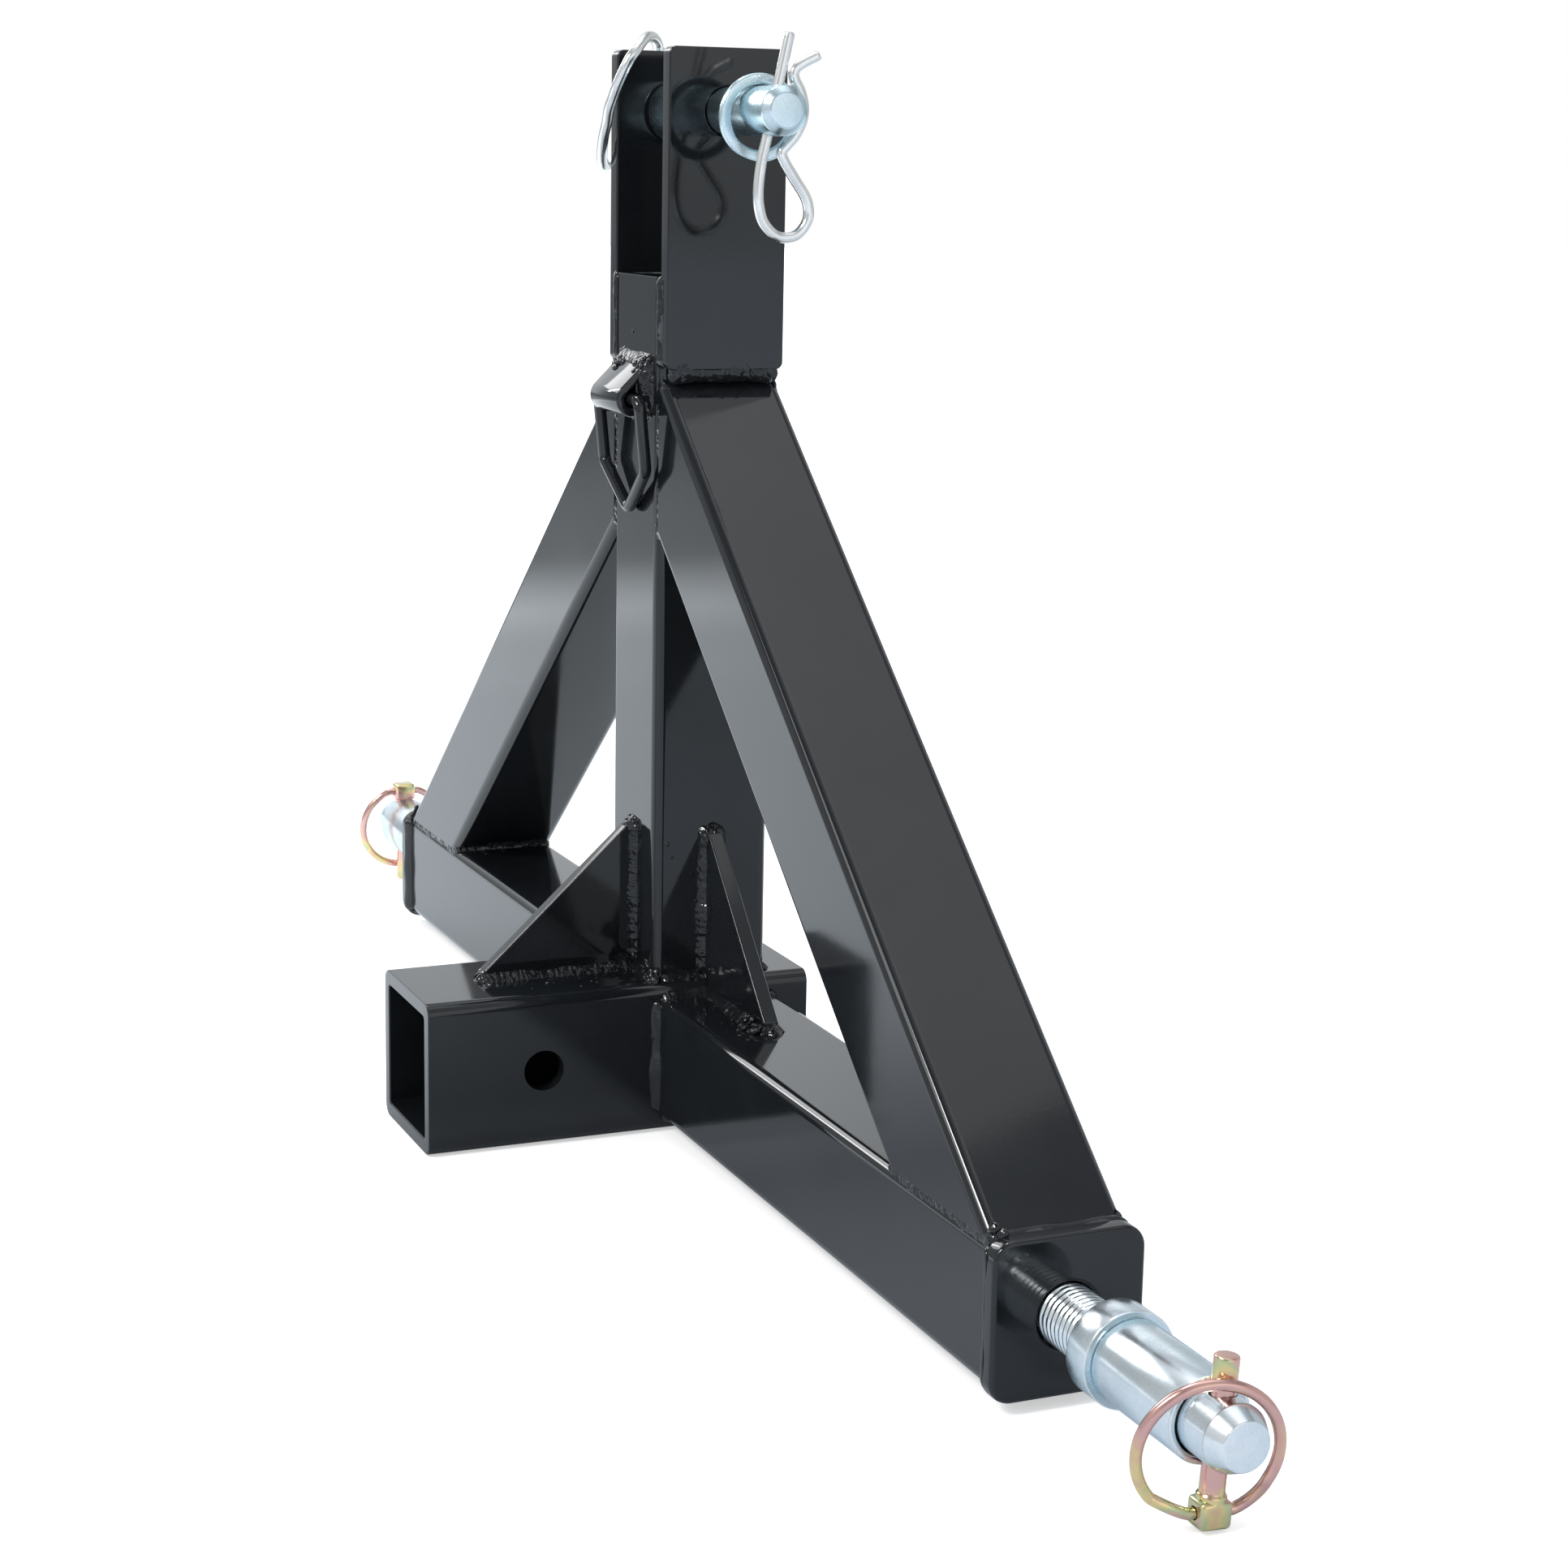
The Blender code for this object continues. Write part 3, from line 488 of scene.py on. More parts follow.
def rounded_rectangle(width, height, radius, steps=8):
    points = []
    for index, (side_a, side_b) in enumerate(((1, 1), (-1, 1), (-1, -1), (1, -1))):
        centre = (side_a * (width / 2 - radius), side_b * (height / 2 - radius))
        start = index * math.pi / 2
        points += arc(centre, radius, start, start + math.pi / 2, steps)
    return points


def circle(diameter, steps=48, centre=(0, 0)):
    return arc(centre, diameter / 2, 0, math.tau * (steps - 1) / steps, steps - 1)


def filleted(corners, radius, steps):
    points = []
    count = len(corners)
    for index, corner in enumerate(corners):
        here = Vector(corner)
        back = (Vector(corners[index - 1]) - here).normalized()
        ahead = (Vector(corners[(index + 1) % count]) - here).normalized()
        half_angle = back.angle(ahead) / 2
        centre = here + (back + ahead).normalized() * radius / math.sin(half_angle)
        first = (here + back * radius / math.tan(half_angle) - centre).normalized()
        last = (here + ahead * radius / math.tan(half_angle) - centre).normalized()
        for step in range(steps + 1):
            points.append(tuple(centre + first.slerp(last, step / steps) * radius))
    return points


def drawn_in(points, inset):
    """A closed outline with every edge moved inwards; the outline runs anticlockwise."""
    count = len(points)
    result = []
    for index in range(count):
        here = Vector(points[index])
        before = (here - Vector(points[index - 1])).normalized()
        after = (Vector(points[(index + 1) % count]) - here).normalized()
        normal_before = Vector((-before.y, before.x))
        normal_after = Vector((-after.y, after.x))
        middle = (normal_before + normal_after).normalized()
        result.append(tuple(here + middle * inset / max(middle.dot(normal_after), 0.3)))
    return result


def smooth_loop(points, steps, closed):
    result = []
    count = len(points)
    for index in range(count if closed else count - 1):
        if closed:
            p0, p1, p2, p3 = (Vector(points[(index + offset) % count]) for offset in (-1, 0, 1, 2))
        else:
            picks = (max(index - 1, 0), index, index + 1, min(index + 2, count - 1))
            p0, p1, p2, p3 = (Vector(points[pick]) for pick in picks)
        for step in range(steps):
            t = step / steps
            run = (p2 - p0) * t
            bend = (2 * p0 - 5 * p1 + 4 * p2 - p3) * t ** 2
            twist = (3 * p1 - p0 - 3 * p2 + p3) * t ** 3
            result.append(p1 + (run + bend + twist) / 2)
    if not closed:
        result.append(Vector(points[-1]))
    return result


def eased(profile, radius, steps=3, closed=False):
    """A turned profile with its corners rounded, less where an edge is too short for the radius."""
    points = [Vector(point) for point in profile]
    result = []
    count = len(points)
    for index, here in enumerate(points):
        if not closed and index in (0, count - 1):
            result.append(tuple(here))
            continue
        back = points[index - 1] - here
        ahead = points[(index + 1) % count] - here
        reach = min(radius, back.length * 0.45, ahead.length * 0.45)
        first = here + back.normalized() * reach
        last = here + ahead.normalized() * reach
        for step in range(steps + 1):
            t = step / steps
            result.append(tuple(first * (1 - t) ** 2 + here * 2 * t * (1 - t) + last * t ** 2))
    return result


# Makers of meshes
def finish_piece(item, material, node=None, body="frame", flats=False, angle=38):
    """Shades a piece, gives it its finish, hides the node it stands for and hangs it on the body it rides on.
    """
    item.data.materials.clear()
    item.data.materials.append(material)
    item.data.shade_smooth()
    item.data.set_sharp_from_angle(angle=math.radians(angle))
    if item.name not in bpy.context.scene.collection.objects:
        bpy.context.scene.collection.objects.link(item)
    if flats:
        weighted = item.modifiers.new("flat_faces", "WEIGHTED_NORMAL")
        weighted.keep_sharp = True
        weighted.weight = 80
    if node:
        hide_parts(node)
    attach(item, body)
    return item


def paint_flats(item, node):
    """Black coat on a piece with large flat faces, which stands for a node of the frame."""
    return finish_piece(item, BLACK_COAT, node, flats=True)


def as_object(name, work):
    """Turns a finished bmesh into an object."""
    mesh = bpy.data.meshes.new(name)
    work.to_mesh(mesh)
    work.free()
    return bpy.data.objects.new(name, mesh)


def bridge(work, rows):
    """Faces of four corners between each closed row of points and the next."""
    for first, second in zip(rows, rows[1:]):
        for index in range(len(first)):
            ahead = (index + 1) % len(first)
            work.faces.new((first[index], first[ahead], second[ahead], second[index]))


def skin(name, rings, closed_path=False):
    """A mesh over rings of equally many points; a ring of one point closes an end."""
    work = bmesh.new()
    rows = [[work.verts.new(point) for point in ring] for ring in rings]
    pairs = list(zip(rows, rows[1:]))
    if closed_path:
        pairs.append((rows[-1], rows[0]))
    for first, second in pairs:
        count = max(len(first), len(second))
        for index in range(count):
            ahead = (index + 1) % count
            corners = (first[index % len(first)], first[ahead % len(first)],
                       second[ahead % len(second)], second[index % len(second)])
            work.faces.new(list(dict.fromkeys(corners)))
    if not closed_path:
        for row in (rows[0], rows[-1]):
            if len(row) > 2:
                work.faces.new(row)
    bmesh.ops.recalc_face_normals(work, faces=work.faces)
    return as_object(name, work)


def applied(item):
    """The piece with its modifiers turned into plain mesh."""
    graph = bpy.context.evaluated_depsgraph_get()
    mesh = bpy.data.meshes.new_from_object(item.evaluated_get(graph))
    item.modifiers.clear()
    item.data = mesh
    return item


def combined(item, others, operation="DIFFERENCE"):
    """Cuts or joins other shapes into a piece and removes them."""
    scene_objects = bpy.context.scene.collection.objects
    for part in [item, *others]:
        if part.name not in scene_objects:
            scene_objects.link(part)
    for other in others:
        modifier = item.modifiers.new("shape", "BOOLEAN")
        modifier.operation = operation
        modifier.solver = "EXACT"
        modifier.object = other
    applied(item)
    for other in others:
        bpy.data.objects.remove(other, do_unlink=True)
    return item


def drill(name, diameter, length, place):
    """A round bar to cut a hole with."""
    radius = diameter / 2
    return turned(name, [(radius, -length / 2), (radius, length / 2)], place, steps=DRILL_STEPS)


def tube_wall_rings(size, wall, corner, inner_corner, low, high, place):
    """Rings round a square tube's wall: out along it, over one sawn end, back inside and over the other."""
    edge = SAWN_EDGE
    wall_points = [(0, low, edge), (0, high, -edge), (edge * 0.3, high, -edge * 0.3), (edge, high, 0),
                   (wall - edge, high, 0), (wall, high, -edge), (wall, low, edge), (wall - edge, low, 0),
                   (edge, low, 0), (edge * 0.3, low, edge * 0.3)]
    rings = []
    for inset, end, shift in wall_points:
        width = size - 2 * inset
        radius = corner + (inner_corner - corner) * inset / wall
        ring = []
        for a, b in rounded_rectangle(width, width, radius):
            ring.append(place @ Vector((a, b, end(a, b) + shift)))
        rings.append(ring)
    return rings


def square_tube(name, size, walls, low, high, place):
    rings = tube_wall_rings(size, *walls, lambda a, b: low, lambda a, b: high, place)
    return skin(name, rings, closed_path=True)


def plate(name, outlines, thickness, edge, place):
    """A flat plate with rounded edges. The first outline is its rim, any others are holes."""
    half = thickness / 2
    angles = (0, math.pi / 6, math.pi / 3, math.pi / 2)
    levels = [(edge - edge * math.sin(angle), half - edge + edge * math.cos(angle)) for angle in angles]
    sides = levels + [(inset, -height) for inset, height in reversed(levels)]
    work = bmesh.new()
    walls = []
    for outline in outlines:
        rows = []
        for inset, height in sides:
            rows.append([work.verts.new(place @ Vector((a, b, height))) for a, b in outline(inset)])
        bridge(work, rows)
        walls.append(rows)
    for end in (0, -1):
        rims = [rows[end] for rows in walls]
        flat = [vert for rim in rims for vert in rim]
        for triangle in tessellate_polygon([[vert.co for vert in rim] for rim in rims]):
            corners = [flat[index] for index in triangle]
            if len(set(corners)) == 3:
                work.faces.new(corners)
    bmesh.ops.recalc_face_normals(work, faces=work.faces)
    bmesh.ops.dissolve_limit(work, angle_limit=math.radians(0.5), verts=work.verts, edges=work.edges)
    return as_object(name, work)


def cut_plate(name, points, thickness, place):
    """A plate cut to an outline, with its edges rounded like the gussets'."""
    return plate(name, [lambda inset: drawn_in(points, inset)], thickness, GUSSET_EDGE, place)


def turned_rings(profile, place, steps):
    """Rings of a profile of radii and heights; where the radius is nought, a single point."""
    rings = []
    for radius, height in profile:
        outline = circle(2 * radius, steps) if radius else [(0, 0)]
        rings.append([place @ Vector((a, b, height)) for a, b in outline])
    return rings


def turned(name, profile, place, closed=False, steps=PIN_STEPS):
    return skin(name, turned_rings(profile, place, steps), closed_path=closed)


def along_path(path, closed):
    """A turn-free frame at each point of a path: place, side, up and forward."""
    count = len(path)
    forwards = []
    for index in range(count):
        if closed:
            step = path[(index + 1) % count] - path[index - 1]
        else:
            step = path[min(index + 1, count - 1)] - path[max(index - 1, 0)]
        forwards.append(step.normalized())
    start = Vector((0, 0, 1)) if abs(forwards[0].z) < 0.8 else Vector((1, 0, 0))
    up = (start - forwards[0] * start.dot(forwards[0])).normalized()
    frames = []
    for point, forward in zip(path, forwards):
        up = (up - forward * up.dot(forward)).normalized()
        frames.append((point, forward.cross(up), up, forward))
    return frames


def wire(name, path, diameter, place, closed, steps=18):
    """A round wire along a path, with its ends domed a little."""
    frames = along_path([Vector(point) for point in path], closed)
    stations = [(here, 0, 1) for here in frames]
    if not closed:
        head = [(frames[0], -push, scale) for push, scale in WIRE_DOME]
        tail = [(frames[-1], push, scale) for push, scale in reversed(WIRE_DOME)]
        stations = head + stations + tail
    rings = []
    for (centre, side, up, forward), push, scale in stations:
        middle = centre + forward * (diameter / 2) * push
        outline = circle(diameter * scale, steps)
        rings.append([place @ (middle + side * a + up * b) for a, b in outline])
    return skin(name, rings, closed_path=closed)


def weld_bead(name, runs, shape, coat=WELD_COAT):
    """Fillet welds: each run is a list of corners and the direction the bead bulges in."""
    leg, flat, ripple, drops = shape
    work = bmesh.new()
    for corners, outward in runs:
        places = [Vector(corner) for corner in corners]
        bulge = Vector(outward).normalized()
        add_bead(work, places, bulge, leg, flat, ripple)
        add_drops(work, places, bulge, leg, drops)
    bmesh.ops.recalc_face_normals(work, faces=work.faces)
    finish_piece(as_object(name, work), coat, angle=60)


def resampled(corners, step):
    """Points at even steps along a run, the way to each, and the run's length."""
    points = []
    travel = []
    total = 0
    for first, second in zip(corners, corners[1:]):
        length = (second - first).length
        count = max(int(length / step), 1)
        for index in range(count):
            points.append(first.lerp(second, index / count))
            travel.append(total + length * index / count)
        total += length
    points.append(corners[-1])
    travel.append(total)
    return points, travel, total


def add_drops(work, corners, outward, leg, share):
    """Proud drops along a run; the share is how much of the run they take up."""
    for first, second in zip(corners, corners[1:]):
        forward = (second - first).normalized()
        side = forward.cross(outward).normalized()
        for _ in range(int((second - first).length * share / leg)):
            centre = first.lerp(second, random.random())
            aside = side * leg * random.uniform(-DROP_SPREAD, DROP_SPREAD)
            centre += aside + outward * leg * random.uniform(0.0, DROP_RISE)
            radius = leg * random.uniform(*DROP_RADII)
            add_blob(work, centre, outward, radius, random.uniform(*DROP_FLATNESS))


def add_bead(work, corners, outward, leg, flat, ripple):
    """A bead with ripples of uneven length and height, which wanders and swells a little on its way."""
    points, travel, total = resampled(corners, WELD_STEP)
    marks = [0.0]
    while marks[-1] <= total:
        marks.append(marks[-1] + WELD_PITCH * random.uniform(*RIPPLE_LENGTHS))
    sway = [random.uniform(0, math.tau) for _ in range(4)]
    proud = [random.uniform(*RIPPLE_HEIGHTS) for _ in marks]
    rows = []
    for index, (point, s) in enumerate(zip(points, travel)):
        forward = (points[min(index + 1, len(points) - 1)] - points[max(index - 1, 0)]).normalized()
        up = (outward - forward * outward.dot(forward)).normalized()
        side = forward.cross(up)
        end = min(s, total - s) / leg
        taper = math.sqrt(max(1 - (1 - min(end, 1)) ** 2, 0.02))
        mark = bisect.bisect_right(marks, s) - 1
        passed = (s - marks[mark]) / (marks[mark + 1] - marks[mark])
        swell = math.sin(math.pi * passed) ** 0.8 * proud[mark]
        lump = sum(share * math.sin(s * pace + start) for (share, pace), start in zip(BEAD_LUMPS, sway))
        width = leg * (BEAD_HALF_WIDTH + lump + 0.5 * ripple * swell) * taper
        height = leg * (BEAD_HEIGHT + ripple * swell + lump * 0.8) * taper * flat
        bend = sum(math.sin(s * pace + start) for pace, start in zip(BEAD_BENDS, sway[2:]))
        drift = side * leg * BEAD_WANDER * bend
        row = []
        for step in range(BEAD_SIDES):
            angle = math.tau * step / BEAD_SIDES
            across = math.cos(angle)
            rise = math.sin(angle)
            lead = forward * WELD_PITCH * RIPPLE_LEAD * (1 - across ** 2)
            depth = rise if rise > 0 else rise * BEAD_UNDERSIDE
            row.append(work.verts.new(point + drift + side * width * across + up * height * depth + lead))
        rows.append(row)
    bridge(work, rows)
    for row in (rows[0], rows[-1]):
        work.faces.new(row)


def add_blob(work, centre, outward, radius, flatness):
    """A low drop of weld spatter on a surface."""
    ball = bmesh.ops.create_icosphere(work, subdivisions=2, radius=radius)
    turn = Vector((0, 0, 1)).rotation_difference(outward).to_matrix().to_4x4()
    squash = Matrix.Diagonal((1.0, random.uniform(*DROP_STRETCH), flatness, 1.0))
    bmesh.ops.transform(work, matrix=Matrix.Translation(centre) @ turn @ squash, verts=ball["verts"])


# Studio. Gloss sees its colour by height, from straight down to straight up, and its strength from -Y
# round to +Y.
STUDIO_HEIGHTS = (
    (0.40, (0.56, 0.60, 0.62)), (0.49, (0.72, 0.76, 0.79)), (0.52, (0.98, 1.03, 1.06)),
    (0.78, (1.00, 1.04, 1.07)), (0.805, (0.34, 0.36, 0.40)), (0.825, (0.36, 0.38, 0.42)),
    (0.86, (0.72, 0.74, 0.80)), (0.95, (0.48, 0.51, 0.54)), (1.0, (0.68, 0.71, 0.74)),
)
STUDIO_SIDES = (
    (0.10, 0.62), (0.22, 0.42), (0.32, 0.52), (0.40, 1.05), (0.69, 1.05), (0.76, 0.62), (0.95, 0.62),
)
# The floor as gloss sees it, from far left to far right: painted shade on its colour, and painted glow that
# lies on it; the camera sees neither
FLOOR_SHADE = (
    (0.05, (0.40, 0.43, 0.45)), (0.17, (0.48, 0.51, 0.54)), (0.24, (0.70, 0.75, 0.79)),
    (0.46, (0.70, 0.75, 0.79)), (0.525, (0.30, 0.33, 0.36)), (0.56, (0.55, 0.60, 0.66)),
    (0.64, (0.56, 0.61, 0.68)), (0.82, (0.52, 0.56, 0.61)),
)
FLOOR_GLOW = (
    (0.08, (0.0, 0.0, 0.0)), (0.12, (0.60, 0.65, 0.68)), (0.16, (1.15, 1.22, 1.27)),
    (0.20, (0.58, 0.63, 0.67)), (0.26, (0.34, 0.38, 0.41)), (0.42, (0.30, 0.34, 0.37)),
    (0.50, (0.10, 0.11, 0.12)), (0.56, (0.0, 0.0, 0.0)), (0.74, (0.02, 0.02, 0.02)),
    (0.86, (0.22, 0.25, 0.29)), (1.0, (0.56, 0.61, 0.69)),
)
FLOOR_PAINT = (0.86, 0.86, 0.87, 1.0)
FLOOR_HALF_SIZE = 12
FLOOR_GAP = 0.0005
FLOOR_SHADE_REACH = 2.0
FLOOR_WHITENESS = 0.50
SHADOW_REACH = 0.6
WHITE_REACH = 1.5
# Each lamp's name, place, the point it looks at, its size and its watts
LAMPS = (
    ("key_softbox", (0.4, -2.2, 2.2), (0, 0, 0.2), (1.6, 1.0), 15),
    ("top_softbox", (-0.2, 0.5, 2.8), (0, 0, 0.2), (2.4, 1.6), 8),
    ("far_softbox", (-2.3, -0.78, 1.52), (0.1, 0, 0.1), (1.2, 0.9), 11),
    ("small_softbox", (-0.9, -0.2, 2.4), (0, 0, 0.1), (0.34, 0.34), 13),
    ("front_small_softbox", (0.6, -1.7, 1.9), (0, 0, 0.1), (0.48, 0.48), 20),
    ("edge_softbox", (-2.6, -1.10, 1.43), (0.2, 0, 0.06), (0.14, 1.0), 5),
)


def make_camera():
    forward = Vector((math.cos(CAMERA_YAW) * math.cos(CAMERA_PITCH),
                      math.sin(CAMERA_YAW) * math.cos(CAMERA_PITCH), math.sin(CAMERA_PITCH)))
    level = forward.cross(Vector((0, 0, 1))).normalized()
    above = level.cross(forward)
    right = level * math.cos(CAMERA_ROLL) + above * math.sin(CAMERA_ROLL)
    up = above * math.cos(CAMERA_ROLL) - level * math.sin(CAMERA_ROLL)
    data = bpy.data.cameras.new("photo_camera")
    data.lens = LENS_MM
    data.sensor_width = SENSOR_MM
    data.clip_start = 0.01
    data.clip_end = 100
    camera = bpy.data.objects.new("photo_camera", data)
    camera.matrix_world = Matrix((right, up, -forward)).transposed().to_4x4()
    camera.location = CAMERA_PLACE
    bpy.context.scene.collection.objects.link(camera)
    bpy.context.scene.camera = camera


def make_lamp(name, place, target, size, power):
    data = bpy.data.lights.new(name, "AREA")
    data.shape = "RECTANGLE"
    data.size, data.size_y = size
    data.energy = power
    lamp = bpy.data.objects.new(name, data)
    lamp.location = place
    lamp.rotation_euler = (Vector(target) - Vector(place)).to_track_quat("-Z", "Y").to_euler()
    bpy.context.scene.collection.objects.link(lamp)


def seen_in_gloss(nodes, path):
    return nodes.math("MAXIMUM", path["Is Glossy Ray"], path["Is Transmission Ray"])


def make_world():
    """White where the camera looks past the part. Gloss sees walls, a bright band, a gap and a ceiling."""
    world = bpy.data.worlds.new("studio")
    bpy.context.scene.world = world
    world.use_nodes = True
    world.node_tree.nodes.clear()
    nodes = Nodes(world.node_tree)
    path = nodes.add("ShaderNodeLightPath").outputs
    axes = nodes.axes(nodes.place("Generated"))
    height = nodes.span(axes["Z"], -1.0, 1.0, 0.0, 1.0)
    across = nodes.span(axes["Y"], -1.0, 1.0, 0.0, 1.0)
    sides = [(position, (strength,) * 3) for position, strength in STUDIO_SIDES]
    walls = {"Color": nodes.ramp(height, STUDIO_HEIGHTS), "Strength": nodes.ramp(across, sides)}
    lights = []
    for inputs in ({"Color": (0.97, 0.98, 1.0, 1.0), "Strength": 0.75}, walls,
                   {"Color": (1.0, 1.0, 1.0, 1.0), "Strength": 1.0}):
        lights.append(nodes.add("ShaderNodeBackground", inputs).outputs[0])
    soft, gloss, white = lights
    unseen = nodes.add("ShaderNodeMixShader", {0: seen_in_gloss(nodes, path), 1: soft, 2: gloss})
    seen = {0: path["Is Camera Ray"], 1: unseen.outputs[0], 2: white}
    surface = nodes.add("ShaderNodeMixShader", seen).outputs[0]
    nodes.add("ShaderNodeOutputWorld", {"Surface": surface})


def make_floor():
    """A pale floor, whitened for the camera beyond the part's faint shadow; gloss sees painted shade and
    painted glow on it.
    """
    work = bmesh.new()
    bmesh.ops.create_grid(work, x_segments=4, y_segments=4, size=FLOOR_HALF_SIZE)
    floor = as_object("studio_floor", work)
    floor.location.z = -FLOOR_GAP
    bpy.context.scene.collection.objects.link(floor)
    material, nodes, shader = new_finish("pale_floor")
    path = nodes.add("ShaderNodeLightPath").outputs
    glossy = seen_in_gloss(nodes, path)
    place = nodes.place()
    along = nodes.span(nodes.axes(place)["X"], -FLOOR_SHADE_REACH, FLOOR_SHADE_REACH, 0.0, 1.0)
    shades = {"Factor": glossy, "A": FLOOR_PAINT, "B": nodes.ramp(along, FLOOR_SHADE)}
    paint = nodes.add("ShaderNodeMix", shades, data_type="RGBA").outputs["Result"]
    nodes.feed(shader, {"Base Color": paint, "Roughness": 0.9, "Specular IOR Level": 0.2})
    reach = nodes.add("ShaderNodeVectorMath", {0: place}, operation="LENGTH").outputs["Value"]
    whiter = nodes.span(reach, SHADOW_REACH, WHITE_REACH, FLOOR_WHITENESS, 1.0)
    whitened = {"Strength": nodes.math("MULTIPLY", whiter, path["Is Camera Ray"])}
    mirrored = {"Color": nodes.ramp(along, FLOOR_GLOW), "Strength": glossy}
    surface = shader.outputs[0]
    for inputs in (whitened, mirrored):
        glow = nodes.add("ShaderNodeEmission", inputs).outputs[0]
        surface = nodes.add("ShaderNodeAddShader", {0: surface, 1: glow}).outputs[0]
    nodes.feed(material.node_tree.nodes["Material Output"], {"Surface": surface})
    floor.data.materials.append(material)


def make_stage():
    make_camera()
    make_world()
    make_floor()
    for lamp in LAMPS:
        make_lamp(*lamp)
    bpy.context.scene.view_settings.view_transform = "Standard"


# Painted frame
TUBE_WALLS = (TUBE_WALL, TUBE_CORNER, TUBE_INNER_CORNER)
RECEIVER_WALLS = (RECEIVER_WALL, RECEIVER_CORNER, RECEIVER_INNER_CORNER)
BRACE_TOP = Vector((BRACE_LOW.x, 0, BRACE_HIGH.z))
BRACE_FOOT = Vector((BRACE_HIGH.x, 0, BRACE_LOW.z))
BRACE_ALONG = (BRACE_TOP - BRACE_FOOT).normalized()
BRACE_OUTWARD = Vector((BRACE_ALONG.z, 0, -BRACE_ALONG.x))


def make_receiver():
    size = RECEIVER_HIGH.x - RECEIVER_LOW.x
    ends = (RECEIVER_LOW.y, RECEIVER_HIGH.y)
    item = square_tube("receiver_tube_shell", size, RECEIVER_WALLS, *ends, at(0, 0, size / 2) @ ALONG_Y)
    hole_place = at(0, RECEIVER_LOW.y + HITCH_PIN_SETBACK, size / 2) @ ALONG_X
    combined(item, [drill("hitch_pin_drill", HITCH_PIN_HOLE, 2 * size, hole_place)])
    paint_flats(item, "receiver_tube")


def make_cross_tube(side, word):
    ends = sorted((side * CROSS_LOW.x, side * CROSS_HIGH.x))
    place = at(0, 0, AXIS_HEIGHT) @ ALONG_X
    item = square_tube("cross_tube_shell_" + word, TUBE_SIZE, TUBE_WALLS, *ends, place)
    paint_flats(item, "cross_tube_" + word)


def make_mast():
    ends = (MAST_LOW.z, MAST_HIGH.z)
    item = square_tube("mast_tube_shell", TUBE_SIZE, TUBE_WALLS, *ends, ALONG_Z)
    paint_flats(item, "mast_tube")


def make_brace(side, word):
    """A tube cut upright against the mast and flat on the cross tube."""
    centre = BRACE_FOOT - BRACE_OUTWARD * TUBE_HALF
    turn = Matrix((BRACE_OUTWARD, Vector((0, 1, 0)), BRACE_ALONG)).transposed().to_4x4()
    place = Matrix.Diagonal((side, 1, 1, 1)) @ Matrix.Translation(centre) @ turn

    def foot_cut(a, b):
        start = centre + BRACE_OUTWARD * a
        return (BRACE_FOOT.z - start.z) / BRACE_ALONG.z

    def top_cut(a, b):
        start = centre + BRACE_OUTWARD * a
        return (BRACE_TOP.x - start.x) / BRACE_ALONG.x

    rings = tube_wall_rings(TUBE_SIZE, *TUBE_WALLS, foot_cut, top_cut, place)
    paint_flats(skin("brace_shell_" + word, rings, closed_path=True), "brace_" + word)


def make_end_plate(side, word):
    size = PLATE_HIGH.y - PLATE_LOW.y
    outlines = [lambda inset: rounded_rectangle(size - 2 * inset, size - 2 * inset, PLATE_CORNER - inset),
                lambda inset: circle(THREAD_CREST + 2 * inset + PIN_FIT)]
    place = at(side * (PLATE_LOW.x + PLATE_HIGH.x) / 2, 0, AXIS_HEIGHT) @ ALONG_X
    item = plate("end_plate_shell_" + word, outlines, PLATE_HIGH.x - PLATE_LOW.x, PLATE_EDGE, place)
    paint_flats(item, "end_plate_" + word)


def make_ear(side, word):
    width = EAR_HIGH.y - EAR_LOW.y
    height = EAR_HIGH.z - EAR_LOW.z
    middle = (EAR_HIGH.z + EAR_LOW.z) / 2
    hole = TOP_PIN + PIN_FIT
    outlines = [lambda inset: rounded_rectangle(width - 2 * inset, height - 2 * inset, EAR_CORNER - inset),
                lambda inset: circle(hole + 2 * inset, centre=(0, TOP_AXIS_HEIGHT - middle))]
    place = at(side * (EAR_LOW.x + EAR_HIGH.x) / 2, 0, middle) @ ALONG_X
    item = plate("clevis_ear_shell_" + word, outlines, EAR_HIGH.x - EAR_LOW.x, EAR_EDGE, place)
    paint_flats(item, "clevis_ear_" + word)


def gusset_outline(reach, height):
    corners = [(0, 0), (reach, 0), (reach, GUSSET_NOSE), (GUSSET_NOSE, height), (0, height)]
    return filleted(corners, GUSSET_EDGE * 1.4, 3)


def make_rear_gusset():
    reach = REAR_GUSSET_HIGH.y - REAR_GUSSET_LOW.y
    height = REAR_GUSSET_HIGH.z - REAR_GUSSET_LOW.z
    points = [(-a, b) for a, b in reversed(gusset_outline(reach, height))]
    place = at(0, REAR_GUSSET_HIGH.y, REAR_GUSSET_LOW.z) @ ALONG_X
    item = cut_plate("rear_gusset_shell", points, REAR_GUSSET_HIGH.x - REAR_GUSSET_LOW.x, place)
    paint_flats(item, "rear_gusset")


